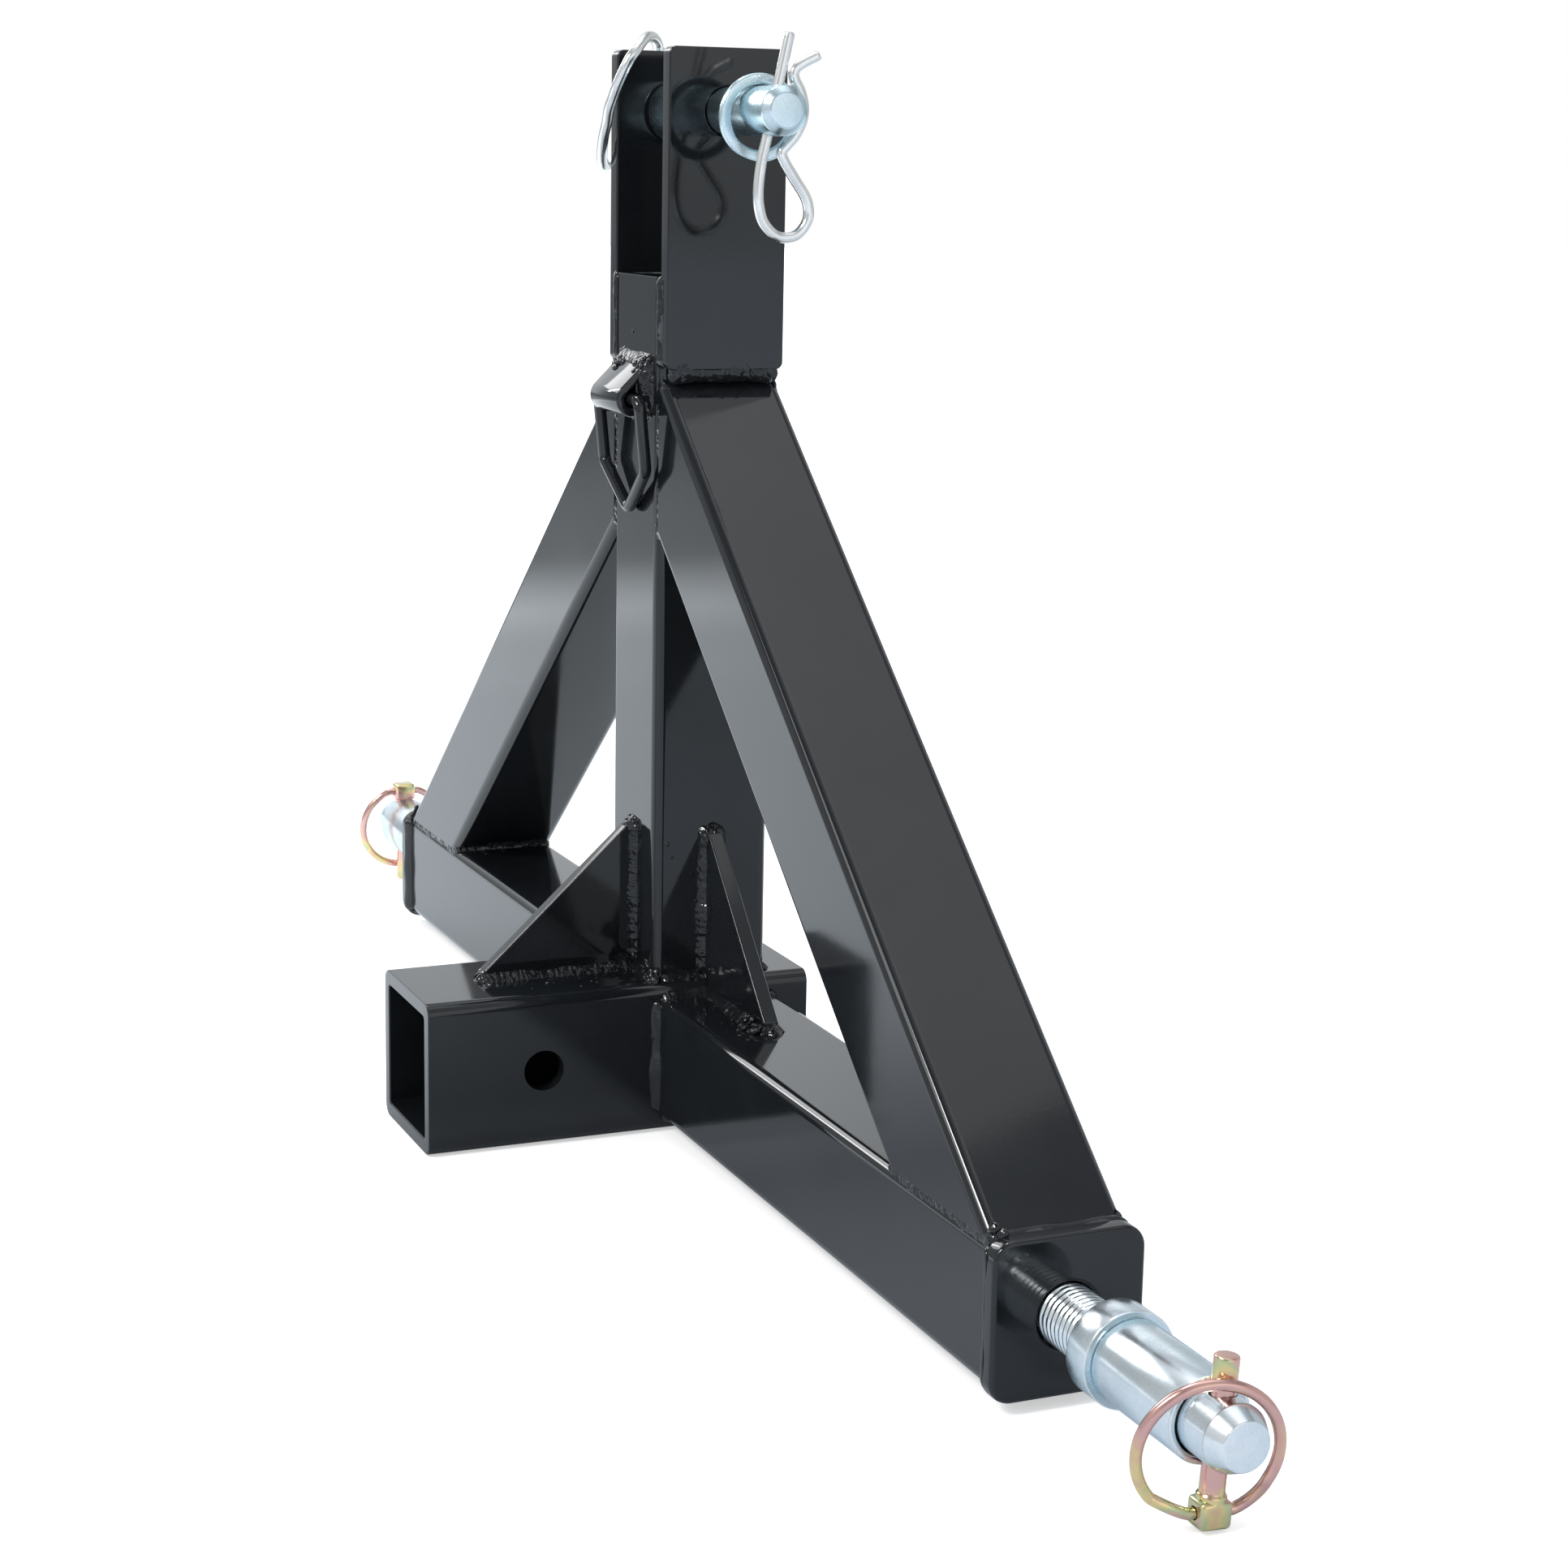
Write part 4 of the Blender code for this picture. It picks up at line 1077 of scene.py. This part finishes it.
def make_side_gusset(side, word):
    reach = SIDE_GUSSET_HIGH.x - SIDE_GUSSET_LOW.x
    height = SIDE_GUSSET_HIGH.z - SIDE_GUSSET_LOW.z
    points = [(b, side * a) for a, b in gusset_outline(reach, height)]
    if side > 0:
        points.reverse()
    place = at(side * SIDE_GUSSET_LOW.x, 0, SIDE_GUSSET_LOW.z) @ ALONG_Y
    thickness = SIDE_GUSSET_HIGH.y - SIDE_GUSSET_LOW.y
    item = cut_plate("side_gusset_shell_" + word, points, thickness, place)
    notch = Vector((RECEIVER_HIGH.x - SIDE_GUSSET_LOW.x, TUBE_SIZE, RECEIVER_HIGH.z - SIDE_GUSSET_LOW.z))
    middle = Vector((side * (SIDE_GUSSET_LOW.x + notch.x / 2), 0, SIDE_GUSSET_LOW.z + notch.z / 2))
    cutter = skin("gusset_notch", box_rings(middle, notch + Vector((PIN_FIT,) * 3)))
    combined(item, [cutter])
    paint_flats(item, "side_gusset_" + word)


def box_rings(centre, size):
    rings = []
    for end in (-0.5, 0.5):
        ring = []
        for a, b in ((-0.5, -0.5), (0.5, -0.5), (0.5, 0.5), (-0.5, 0.5)):
            ring.append(centre + Vector((a * size.x, b * size.y, end * size.z)))
        rings.append(ring)
    return rings


# Chain ring and its strap
def make_ring_strap():
    inner = RING_WIRE / 2 + STRAP_FIT
    outer = inner + STRAP_THICKNESS
    seat = STRAP_HIGH.y - RING_BAR.y
    start = math.pi / 2 + STRAP_SLOPE
    end = 3 * math.pi / 2

    def leg_top(radius):
        along = (seat - radius * math.cos(start)) / math.sin(start)
        return (seat, radius * math.sin(start) - along * math.cos(start))

    points = [leg_top(outer)] + arc((0, 0), outer, start, end, 20) + [(seat, -outer)]
    points += [(seat, -inner)] + arc((0, 0), inner, end, start, 16) + [leg_top(inner)]
    place = Matrix.Translation(RING_BAR) @ ALONG_X
    item = cut_plate("ring_strap_shell", points, STRAP_HIGH.x - STRAP_LOW.x, place)
    finish_piece(item, BLACK_COAT, "ring_strap")


def make_d_ring():
    lean = math.atan2(RING_BAR_STANDOFF - RING_WIRE / 2 - RING_POINT_GAP, RING_DROP)
    corners = [(RING_HALF_WIDTH, 0), (-RING_HALF_WIDTH, 0), (-RING_HALF_WIDTH, -RING_LEG),
               (0, -RING_DROP), (RING_HALF_WIDTH, -RING_LEG)]
    points = [(a, 0, b) for a, b in filleted(corners, RING_BEND, 8)]
    place = Matrix.Translation(RING_BAR) @ Matrix.Rotation(lean, 4, "X")
    item = wire("chain_ring", points, RING_WIRE, place, True)
    finish_piece(item, BLACK_COAT, "d_ring", "chain_ring")


# Lower link pins, sleeves and lynch pins
COLLAR_INNER = LOWER_PIN_HIGH.x - LINK_JOURNAL_LENGTH - LINK_COLLAR_LENGTH
COLLAR_OUTER = LOWER_PIN_HIGH.x - LINK_JOURNAL_LENGTH


def side_axis(side):
    return at(0, 0, AXIS_HEIGHT) @ Matrix.Rotation(side * math.pi / 2, 4, "Y")


def lynch_frame(side):
    """Local Z points from the lynch pin's tip to its head: down on the right, up on the left."""
    lean = Matrix.Rotation(LYNCH_LEAN if side > 0 else 0, 4, "X")
    turn = Matrix.Rotation(math.pi if side > 0 else 0, 4, "Y")
    return at(side * LYNCH_PLACE, 0, AXIS_HEIGHT) @ lean.inverted() @ turn


def lynch_head(side):
    """How far the head's middle is from the link pin's axis."""
    return LYNCH_HEAD_RIGHT if side > 0 else LYNCH_HEAD_LEFT


def lynch_head_frame(side):
    return lynch_frame(side) @ at(0, 0, lynch_head(side))


def thread_rings(start, end, place, steps):
    """Rings of a screw thread: a ridge that climbs one pitch in each turn."""
    rings = []
    levels = int((end - start) / THREAD_PITCH * THREAD_LEVELS)
    for level in range(levels + 1):
        height = start + (end - start) * level / levels
        fade = min((height - start), (end - height), THREAD_PITCH) / THREAD_PITCH
        ring = []
        for index in range(steps):
            angle = math.tau * index / steps
            turn = (height / THREAD_PITCH - index / steps) % 1
            ridge = min(max(1.25 - 2.5 * abs(turn - 0.5), 0), 1)
            radius = THREAD_ROOT / 2 + (THREAD_CREST - THREAD_ROOT) / 2 * ridge * min(fade * 2, 1)
            ring.append(place @ Vector((radius * math.cos(angle), radius * math.sin(angle), height)))
        rings.append(ring)
    return rings


def make_lower_pin(side, word):
    """A stub with a taper at its tip, a collar against the plate and a rolled thread inside."""
    place = side_axis(side)
    tip = LOWER_PIN_HIGH.x
    journal = LINK_PIN / 2
    collar = LINK_COLLAR / 2
    root = THREAD_ROOT / 2
    outer = [(0, tip), (journal - LINK_END_TAPER, tip), (journal, tip - LINK_END_TAPER_LENGTH),
             (journal, COLLAR_OUTER), (collar, COLLAR_OUTER), (collar, COLLAR_INNER),
             (root, COLLAR_INNER), (root, COLLAR_INNER - COLLAR_EDGE)]
    rings = turned_rings(eased(outer, PIN_EDGE), place, PIN_STEPS)
    thread = thread_rings(LOWER_PIN_LOW.x, COLLAR_INNER - COLLAR_EDGE * 1.2, place, PIN_STEPS)
    rings += list(reversed(thread))
    rings.append([place @ Vector((0, 0, LOWER_PIN_LOW.x))])
    item = skin("lower_pin_body_" + word, rings)
    combined(item, [drill("lynch_drill", LYNCH_HOLE, 2 * LINK_PIN, lynch_frame(side))])
    finish_piece(item, ZINC, "lower_pin_" + word, "frame")
    near = journal + COLLAR_EDGE * 0.4
    far = collar - COLLAR_EDGE * 0.6
    proud = COLLAR_OUTER + COLLAR_FACE_PROUD
    sunk = COLLAR_OUTER - COLLAR_FACE_DEPTH
    face = [(near, proud), (far, proud), (far, sunk), (near, sunk)]
    item = turned("lower_pin_collar_face_" + word, face, place, closed=True)
    finish_piece(item, COOL_ZINC, None, "frame")


def make_sleeve(side, word):
    outside = (SLEEVE_HIGH.z - SLEEVE_LOW.z) / 2
    inside = SLEEVE_BORE / 2
    edge = SLEEVE_EDGE
    profile = [(outside, SLEEVE_LOW.x), (outside, SLEEVE_HIGH.x), (inside + edge, SLEEVE_HIGH.x),
               (inside, SLEEVE_HIGH.x - edge), (inside, SLEEVE_LOW.x + edge), (inside + edge, SLEEVE_LOW.x)]
    item = turned("step_up_sleeve_" + word, eased(profile, edge, closed=True), side_axis(side), closed=True)
    finish_piece(item, ZINC, "lower_bush_" + word, "bush_" + word)


def make_lynch_pin(side, word):
    """A round shank with a short neck under a rounded block head, which the ring passes through."""
    head = lynch_head(side)
    head_top = head + LYNCH_HEAD.z / 2
    neck_end = head - LYNCH_HEAD.z / 2
    shank = LYNCH_SHANK / 2
    neck = LYNCH_NECK / 2
    tip = head_top - LYNCH_LENGTH
    profile = [(0, head), (neck, head), (neck, neck_end - LYNCH_NECK_HEIGHT * 0.6),
               (shank, neck_end - LYNCH_NECK_HEIGHT), (shank, tip), (0, tip)]
    item = turned("lynch_pin_body_" + word, eased(profile, LYNCH_EDGE), lynch_frame(side), steps=48)
    block = rounded_block("lynch_head", LYNCH_HEAD, LYNCH_HEAD_ROUND, lynch_head_frame(side))
    combined(item, [block], "UNION")
    eye_place = lynch_head_frame(side) @ Matrix.Rotation(math.pi / 2, 4, "X")
    combined(item, [drill("lynch_eye", LYNCH_WIRE + PIN_FIT, 2 * LYNCH_HEAD.y, eye_place)])
    finish_piece(item, YELLOW_PIN, "lynch_pin_" + word, "lynch_" + word)


def rounded_block(name, size, rounding, place):
    work = bmesh.new()
    bmesh.ops.create_cube(work, size=1)
    bmesh.ops.scale(work, vec=size, verts=work.verts)
    bmesh.ops.bevel(work, geom=work.edges, offset=rounding, segments=4, profile=0.5, affect="EDGES")
    bmesh.ops.transform(work, matrix=place, verts=work.verts)
    return as_object(name, work)


def make_lynch_ring(side, word):
    """A wire ring with a short straight run through the head. The right one hangs askew from there."""
    radius = (LYNCH_RING_REACH ** 2 + LYNCH_RING_RUN ** 2) / (2 * LYNCH_RING_REACH)
    centre = LYNCH_RING_REACH - radius
    start = math.asin(-centre / radius)
    points = []
    for a, b in arc((0, centre), radius, start, math.pi - start, 96):
        askew = min(b / LYNCH_RING_RUN, 1) if side > 0 else 0
        lean = Matrix.Rotation(LYNCH_RING_LEAN * askew, 3, "X")
        turn = Matrix.Rotation(LYNCH_RING_TURN * askew, 3, "Z")
        points.append(turn @ lean @ Vector((0, a, -b)))
    place = lynch_head_frame(side) @ Matrix.Rotation(LYNCH_RING_TILT, 4, "Y")
    item = wire("snap_ring_" + word, points, LYNCH_WIRE, place, True)
    finish_piece(item, YELLOW_RING, "lynch_ring_" + word, "snap_ring_" + word)


# Upper link pin and what is on it
def top_axis():
    return at(0, 0, TOP_AXIS_HEIGHT) @ Matrix.Rotation(math.pi / 2, 4, "Y")


def handle_frame():
    lean = Matrix.Rotation(-HANDLE_LEAN, 4, "X")
    return at(-HANDLE_PLACE, 0, TOP_AXIS_HEIGHT) @ lean @ Matrix.Rotation(-math.pi / 2 + HANDLE_SWING, 4, "Z")


def clip_frame():
    return at(TOP_PIN_HIGH.x - CLIP_SETBACK, 0, TOP_AXIS_HEIGHT) @ Matrix.Rotation(-CLIP_LEAN, 4, "X")


def make_top_pin():
    radius = TOP_PIN / 2
    flange = TOP_PIN_FLANGE / 2
    flange_outer = TOP_PIN_LOW.x + TOP_PIN_STUB_LENGTH
    flange_inner = flange_outer + TOP_PIN_FLANGE_THICKNESS
    profile = [(0, TOP_PIN_HIGH.x), (radius - TOP_PIN_CHAMFER, TOP_PIN_HIGH.x),
               (radius, TOP_PIN_HIGH.x - TOP_PIN_CHAMFER), (radius, flange_inner), (flange, flange_inner),
               (flange, flange_outer), (radius, flange_outer), (radius, TOP_PIN_LOW.x + TOP_PIN_STUB_CHAMFER),
               (radius - TOP_PIN_STUB_CHAMFER, TOP_PIN_LOW.x), (0, TOP_PIN_LOW.x)]
    item = turned("upper_pin_body", eased(profile, TOP_PIN_EDGE), top_axis())
    length = 2 * TOP_PIN
    combined(item, [drill("clip_drill", CLIP_WIRE + 2 * PIN_FIT, length, clip_frame()),
                    drill("handle_drill", HANDLE_WIRE + 2 * PIN_FIT, length, handle_frame())])
    finish_piece(item, COOL_ZINC, "top_pin", "upper_pin")


def make_top_bushing():
    outside = (BUSHING_HIGH.z - BUSHING_LOW.z) / 2
    inside = TOP_BUSHING_BORE / 2
    profile = [(outside, BUSHING_LOW.x), (outside, BUSHING_HIGH.x), (inside, BUSHING_HIGH.x),
               (inside, BUSHING_LOW.x)]
    item = turned("clevis_bushing", eased(profile, SLEEVE_EDGE, closed=True), top_axis(), closed=True)
    finish_piece(item, COOL_ZINC, "top_bushing", "upper_bush")


def make_top_washer():
    """A plain washer: the edges of both its faces are rounded a little."""
    middle = (WASHER_HIGH + WASHER_LOW) / 2
    outside = (WASHER_HIGH.z - WASHER_LOW.z) / 2
    inside = WASHER_BORE / 2
    half = (WASHER_HIGH.x - WASHER_LOW.x) / 2
    profile = [(outside, -half), (outside, half), (inside, half), (inside, -half)]
    place = Matrix.Translation(middle) @ Matrix.Rotation(math.pi / 2, 4, "Y")
    item = turned("plain_washer", eased(profile, WASHER_EDGE, closed=True), place, closed=True)
    finish_piece(item, COOL_ZINC, "top_washer", "washer")


# The handle as shares of half an ear's width: along the bar, out from it and across the bow's plane
HANDLE_SHARES = (
    (-0.56, 0, 0), (0, 0, 0), (0.52, 0, 0), (0.66, 0.05, 0), (0.76, 0.18, -0.04), (0.77, 0.34, -0.12),
    (0.71, 0.52, -0.24), (0.65, 0.66, -0.32), (0.62, 0.77, -0.345), (0.64, 0.88, -0.34), (0.63, 1.04, -0.32),
    (0.57, 1.26, -0.26), (0.45, 1.47, -0.19), (0.28, 1.61, -0.10), (0.09, 1.68, -0.02), (-0.09, 1.70, 0.02),
    (-0.30, 1.62, 0.04), (-0.50, 1.47, 0.03), (-0.65, 1.30, 0.01), (-0.80, 1.14, 0), (-0.94, 0.92, 0),
    (-1.09, 0.73, 0), (-1.24, 0.46, 0), (-1.32, 0.22, 0), (-1.27, 0.03, 0), (-1.05, -0.02, 0), (-0.80, 0, 0),
)

# The clip as shares of its reach, the least distance from the pin's axis to the outer leg's middle
CLIP_SHARES = (
    (0, 2.46), (0, 1.60), (0, 0.80), (0, -0.80), (0, -1.70), (0.09, -2.50), (0.25, -3.05), (0.55, -3.52),
    (1.10, -3.80), (1.72, -3.62), (2.00, -3.05), (1.82, -2.45), (1.25, -1.90), (0.82, -1.50), (0.62, -1.22),
    (0.72, -0.98), (0.93, -0.62), (1.06, -0.12), (1.02, 0.36), (0.80, 0.80), (0.52, 1.12), (0.44, 1.36),
    (0.62, 1.62), (1.12, 2.03),
)


def make_handle():
    unit = (EAR_HIGH.y - EAR_LOW.y) / 2
    points = [(out * unit, across * unit, along * unit) for along, out, across in HANDLE_SHARES]
    item = wire("pull_handle_wire", smooth_loop(points, 6, True), HANDLE_WIRE, handle_frame(), True)
    finish_piece(item, WIRE, "top_pin_handle", "pull_handle")


def make_clip():
    reach = (TOP_PIN + CLIP_WIRE + PIN_FIT) / 2
    points = [(0, across * reach, along * reach) for across, along in CLIP_SHARES]
    item = wire("spring_clip_wire", smooth_loop(points, 6, False), CLIP_WIRE, clip_frame(), False)
    finish_piece(item, WIRE, "r_clip", "clip")


# Weld beads
def across_tube(x, z, stop):
    """A run across the tube's width."""
    return [(x, -TUBE_HALF + stop, z), (x, TUBE_HALF - stop, z)]


def make_receiver_welds(side, word):
    """Round the cross tube's end, where it meets the receiver tube's side."""
    x = side * RECEIVER_HIGH.x
    runs = []
    for front in (-1, 1):
        y = front * TUBE_HALF
        upright = [(x, y, CROSS_LOW.z + FAR_STOP), (x, y, CROSS_HIGH.z - NEAR_STOP)]
        runs.append((upright, (side, front, 0)))
    for up in (-1, 1):
        runs.append((across_tube(x, AXIS_HEIGHT + up * TUBE_HALF, NEAR_STOP), (side, 0, up)))
    weld_bead("weld_receiver_" + word, runs, RECEIVER_BEAD, SMOOTH_WELD_COAT)


def make_mast_foot_weld():
    """All round the mast's foot on the receiver tube."""
    z = RECEIVER_HIGH.z
    end = TUBE_HALF - FAR_STOP
    runs = []
    for side in (-1, 1):
        edge = side * TUBE_HALF
        runs.append((across_tube(edge, z, FAR_STOP), (side, 0, 1)))
        runs.append(([(-end, edge, z), (end, edge, z)], (0, side, 1)))
    weld_bead("weld_mast_foot", runs, MAST_FOOT_BEAD)


def make_rear_gusset_welds():
    """Up the mast and along the receiver tube on both faces, and round the gusset's tip and toe."""
    face = REAR_GUSSET_HIGH.x
    mast = MAST_LOW.y
    z = RECEIVER_HIGH.z
    runs = []
    for x in (-face, face):
        upright = [(x, mast, REAR_GUSSET_LOW.z + NEAR_STOP), (x, mast, REAR_GUSSET_HIGH.z + REAR_OVERRUN)]
        runs.append((upright, (x / face, -1, 0)))
        runs.append(([(x, REAR_GUSSET_LOW.y - REAR_OVERRUN, z), (x, mast, z)], (x / face, 0, 1)))
    tip = REAR_GUSSET_HIGH.z + TIP_OVERRUN
    toe = REAR_GUSSET_LOW.y - TIP_OVERRUN
    runs.append(([(-face, mast, tip), (face, mast, tip)], (0, -1, 0.9)))
    runs.append(([(-face, toe, z), (face, toe, z)], (0, -0.9, 1)))
    weld_bead("weld_rear_gusset", runs, GUSSET_BEAD)


def make_side_gusset_welds(side, word):
    """Up the mast and along the cross tube on both faces, and round the gusset's tip and toe."""
    face = SIDE_GUSSET_HIGH.y
    x = side * MAST_HIGH.x
    start = side * (RECEIVER_HIGH.x + NEAR_STOP)
    foot = side * (SIDE_GUSSET_HIGH.x + SIDE_OVERRUN)
    z = CROSS_HIGH.z
    runs = []
    for y in (-face, face):
        upright = [(x, y, RECEIVER_HIGH.z), (x, y, SIDE_GUSSET_HIGH.z + SIDE_OVERRUN)]
        runs.append((upright, (side, y / face, 0)))
        runs.append(([(start, y, z), (foot, y, z)], (0, y / face, 1)))
    tip = SIDE_GUSSET_HIGH.z + TIP_OVERRUN
    runs.append(([(x, -face, tip), (x, face, tip)], (side, 0, 0.9)))
    runs.append(([(foot, -face, z), (foot, face, z)], (side * 0.9, 0, 1)))
    weld_bead("weld_side_gusset_" + word, runs, GUSSET_BEAD)


def make_ear_welds(side, word):
    """Down both edges of the ear onto the mast, and under its foot onto the brace."""
    x = side * (EAR_LOW.x + EAR_BEAD_INSET)
    runs = []
    for front in (-1, 1):
        y = front * (EAR_HIGH.y - EAR_BEAD_INSET)
        runs.append(([(x, y, EAR_LOW.z), (x, y, MAST_HIGH.z)], (side * 0.25, front, 0)))
    weld_bead("weld_ear_edges_" + word, runs, EAR_EDGE_BEAD, SMOOTH_WELD_COAT)
    foot = across_tube(side * (EAR_LOW.x + EAR_FOOT_REACH), EAR_LOW.z - EAR_FOOT_DROP, FAR_STOP)
    weld_bead("weld_ear_foot_" + word, [(foot, (side, 0, -0.35))], EAR_FOOT_BEAD)


def make_brace_welds(side, word):
    """The brace's two sawn ends: inside corners are fillets, side faces are nearly flush."""
    inner_top = BRACE_TOP.z - TUBE_SIZE / BRACE_OUTWARD.z
    inner_foot = BRACE_FOOT.x - TUBE_SIZE / BRACE_OUTWARD.x
    runs = [(across_tube(side * MAST_HIGH.x, inner_top, FAR_STOP), (side, 0, -0.6)),
            (across_tube(side * inner_foot, CROSS_HIGH.z, FAR_STOP), (-side, 0, 0.8))]
    weld_bead("weld_brace_corners_" + word, runs, BRACE_CORNER_BEAD)
    x = side * (MAST_HIGH.x - BRACE_TOP_INSET)
    start = side * (inner_foot - BRACE_FOOT_OVERRUN)
    z = CROSS_HIGH.z - BRACE_FOOT_INSET
    runs = []
    for front in (-1, 1):
        y = front * (TUBE_HALF - BRACE_SIDE_INSET)
        runs.append(([(x, y, inner_top), (x, y, BRACE_TOP.z)], (0, front, 0)))
        runs.append(([(start, y, z), (side * BRACE_FOOT.x, y, z)], (0, front, 0)))
    weld_bead("weld_brace_sides_" + word, runs, BRACE_SIDE_BEAD)


def make_plate_welds(side, word):
    """Behind the plate all round the tube, and across the brace's foot on the plate's top edge."""
    x = side * PLATE_LOW.x
    low = CROSS_LOW.z
    runs = []
    for front in (-1, 1):
        y = front * TUBE_HALF
        edge = front * (TUBE_HALF - TUBE_CORNER * 0.3)
        runs.append(([(x, edge, low + PLATE_BEAD_RISE), (x, y, low + TUBE_CORNER),
                      (x, y, CROSS_HIGH.z - NEAR_STOP)], (-side, front, -0.2)))
    runs.append((across_tube(x, low, NEAR_STOP), (-side, 0, -1)))
    weld_bead("weld_end_plate_" + word, runs, END_PLATE_BEAD, SMOOTH_WELD_COAT)
    top = across_tube(side * (PLATE_LOW.x + BRACE_TOE_REACH), PLATE_HIGH.z - BRACE_TOE_DROP, NEAR_STOP)
    weld_bead("weld_brace_foot_" + word, [(top, (side * 0.6, 0, 1))], BRACE_FOOT_BEAD, SMOOTH_WELD_COAT)


def make_strap_welds():
    """Above and below the strap, and down both of its ends."""
    mast = MAST_LOW.y
    high = STRAP_HIGH.z - STRAP_TOP_DROP
    low = STRAP_LOW.z + STRAP_FOOT_RISE
    half = (STRAP_HIGH.x - STRAP_LOW.x) / 2
    reach = half + STRAP_OVERRUN
    out = mast - STRAP_OVERRUN
    start_out, start_drop = STRAP_SLANT_START
    stop_out, stop_rise = STRAP_SLANT_END
    runs = [([(-reach, mast, high), (reach, mast, high)], (0, -1, 0.9)),
            ([(-reach, mast, low), (reach, mast, low)], (0, -1, -0.8))]
    for side in (-1, 1):
        x = side * half
        runs.append(([(x, out, low), (x, out, high)], (side, -1, 0)))
        slant = [(x, mast - start_out, high - start_drop), (x, mast - stop_out, low + stop_rise)]
        runs.append((slant, (side, -0.6, 0)))
    weld_bead("weld_ring_strap", runs, STRAP_BEAD)


# Least and greatest radius and flatness of a drop
SPATTER_RADII = (0.0004, 0.0011)
SPATTER_FLATNESS = (0.4, 0.8)
CLUSTER_RADII = (0.0009, 0.0021)
CLUSTER_FLATNESS = (0.5, 0.8)
# How close together a cluster's drops are, and how much of their scatter off the surface is taken back
CLUSTER_TIGHTNESS = 0.50
CLUSTER_SETTLING = 0.85
# Spatter beside the heaviest welds: two corners of the zone, the way it faces and how many drops
SPATTER_ZONES = (
    ((0.034, 0, CROSS_HIGH.z), (0.060, -0.018, CROSS_HIGH.z), (0, 0, 1), 16),
    ((0.004, -0.090, RECEIVER_HIGH.z), (0.024, -0.030, RECEIVER_HIGH.z), (0, 0, 1), 14),
    ((0.062, -0.014, CROSS_HIGH.z), (0.098, -0.004, CROSS_HIGH.z), (0, 0, 1), 16),
    ((-0.016, MAST_LOW.y, 0.300), (0.016, MAST_LOW.y, 0.330), (0, -1, 0), 10),
    ((MAST_HIGH.x, -0.020, 0.070), (MAST_HIGH.x, -0.006, 0.125), (1, 0, 0), 3),
    ((-0.300, -0.020, CROSS_HIGH.z), (-0.240, 0.0, CROSS_HIGH.z), (0, 0, 1), 8),
    ((PLATE_HIGH.x, -0.026, 0.048), (PLATE_HIGH.x, -0.014, 0.058), (1, 0, 0), 7),
)


def spatter_clusters(side):
    """Clusters of larger drops on the beads: middle, spread, the way they face and how many."""
    return (
        ((side * (SIDE_GUSSET_HIGH.x - 0.006), SIDE_GUSSET_LOW.y - 0.0035, CROSS_HIGH.z + 0.0012),
         0.0060, (0, -0.6, 1), 22),
        ((side * (MAST_HIGH.x + 0.0015), SIDE_GUSSET_LOW.y, SIDE_GUSSET_HIGH.z - 0.0010),
         0.0030, (side, -0.6, 0.4), 9),
        ((side * (MAST_HIGH.x + 0.0010), MAST_LOW.y - 0.0005, RECEIVER_HIGH.z + 0.0012),
         0.0045, (side, -1, 1), 14),
        ((side * (RECEIVER_HIGH.x + 0.0015), 0.004 - TUBE_HALF, CROSS_HIGH.z - 0.0003),
         0.0048, (side * 0.5, -0.5, 1), 14),
        ((side * (PLATE_LOW.x + 0.0004), 0.0022 - TUBE_HALF, PLATE_HIGH.z - 0.0006),
         0.0026, (side, -1, 0.6), 9),
        ((side * 0.012, MAST_LOW.y - 0.0020, STRAP_HIGH.z - 0.0016), 0.0055, (0, -1, 0.8), 12),
    )


def make_spatter():
    """Small drops on the faces beside the heaviest welds, and clusters of larger ones on the beads."""
    work = bmesh.new()
    for low, high, outward, count in SPATTER_ZONES:
        for _ in range(count):
            centre = Vector([random.uniform(low[axis], high[axis]) for axis in range(3)])
            radius = random.uniform(*SPATTER_RADII)
            add_blob(work, centre, Vector(outward), radius, random.uniform(*SPATTER_FLATNESS))
    for side in (-1, 1):
        for middle, spread, outward, count in spatter_clusters(side):
            facing = Vector(outward).normalized()
            for _ in range(count):
                drift = Vector([random.gauss(0, spread * CLUSTER_TIGHTNESS) for _ in range(3)])
                drift -= facing * drift.dot(facing) * CLUSTER_SETTLING
                radius = random.uniform(*CLUSTER_RADII)
                flatness = random.uniform(*CLUSTER_FLATNESS)
                add_blob(work, Vector(middle) + drift, Vector(outward), radius, flatness)
    finish_piece(as_object("weld_spatter", work), WELD_COAT, angle=80)


def finish_hidden_nuts():
    for word in ("left", "right"):
        node = frame["nodes"]["pin_nut_" + word]
        for slot in node.material_slots:
            slot.material = ZINC


def build_object():
    make_receiver()
    make_mast()
    make_rear_gusset()
    make_ring_strap()
    make_d_ring()
    for side, word in ((1, "right"), (-1, "left")):
        make_cross_tube(side, word)
        make_brace(side, word)
        make_end_plate(side, word)
        make_ear(side, word)
        make_side_gusset(side, word)
        make_lower_pin(side, word)
        make_sleeve(side, word)
        make_lynch_pin(side, word)
        make_lynch_ring(side, word)
        make_receiver_welds(side, word)
        make_side_gusset_welds(side, word)
        make_ear_welds(side, word)
        make_brace_welds(side, word)
        make_plate_welds(side, word)
    make_mast_foot_weld()
    make_rear_gusset_welds()
    make_strap_welds()
    make_spatter()
    make_top_pin()
    make_top_bushing()
    make_top_washer()
    make_handle()
    make_clip()
    finish_hidden_nuts()


make_stage()
build_object()
bpy.context.view_layer.update()
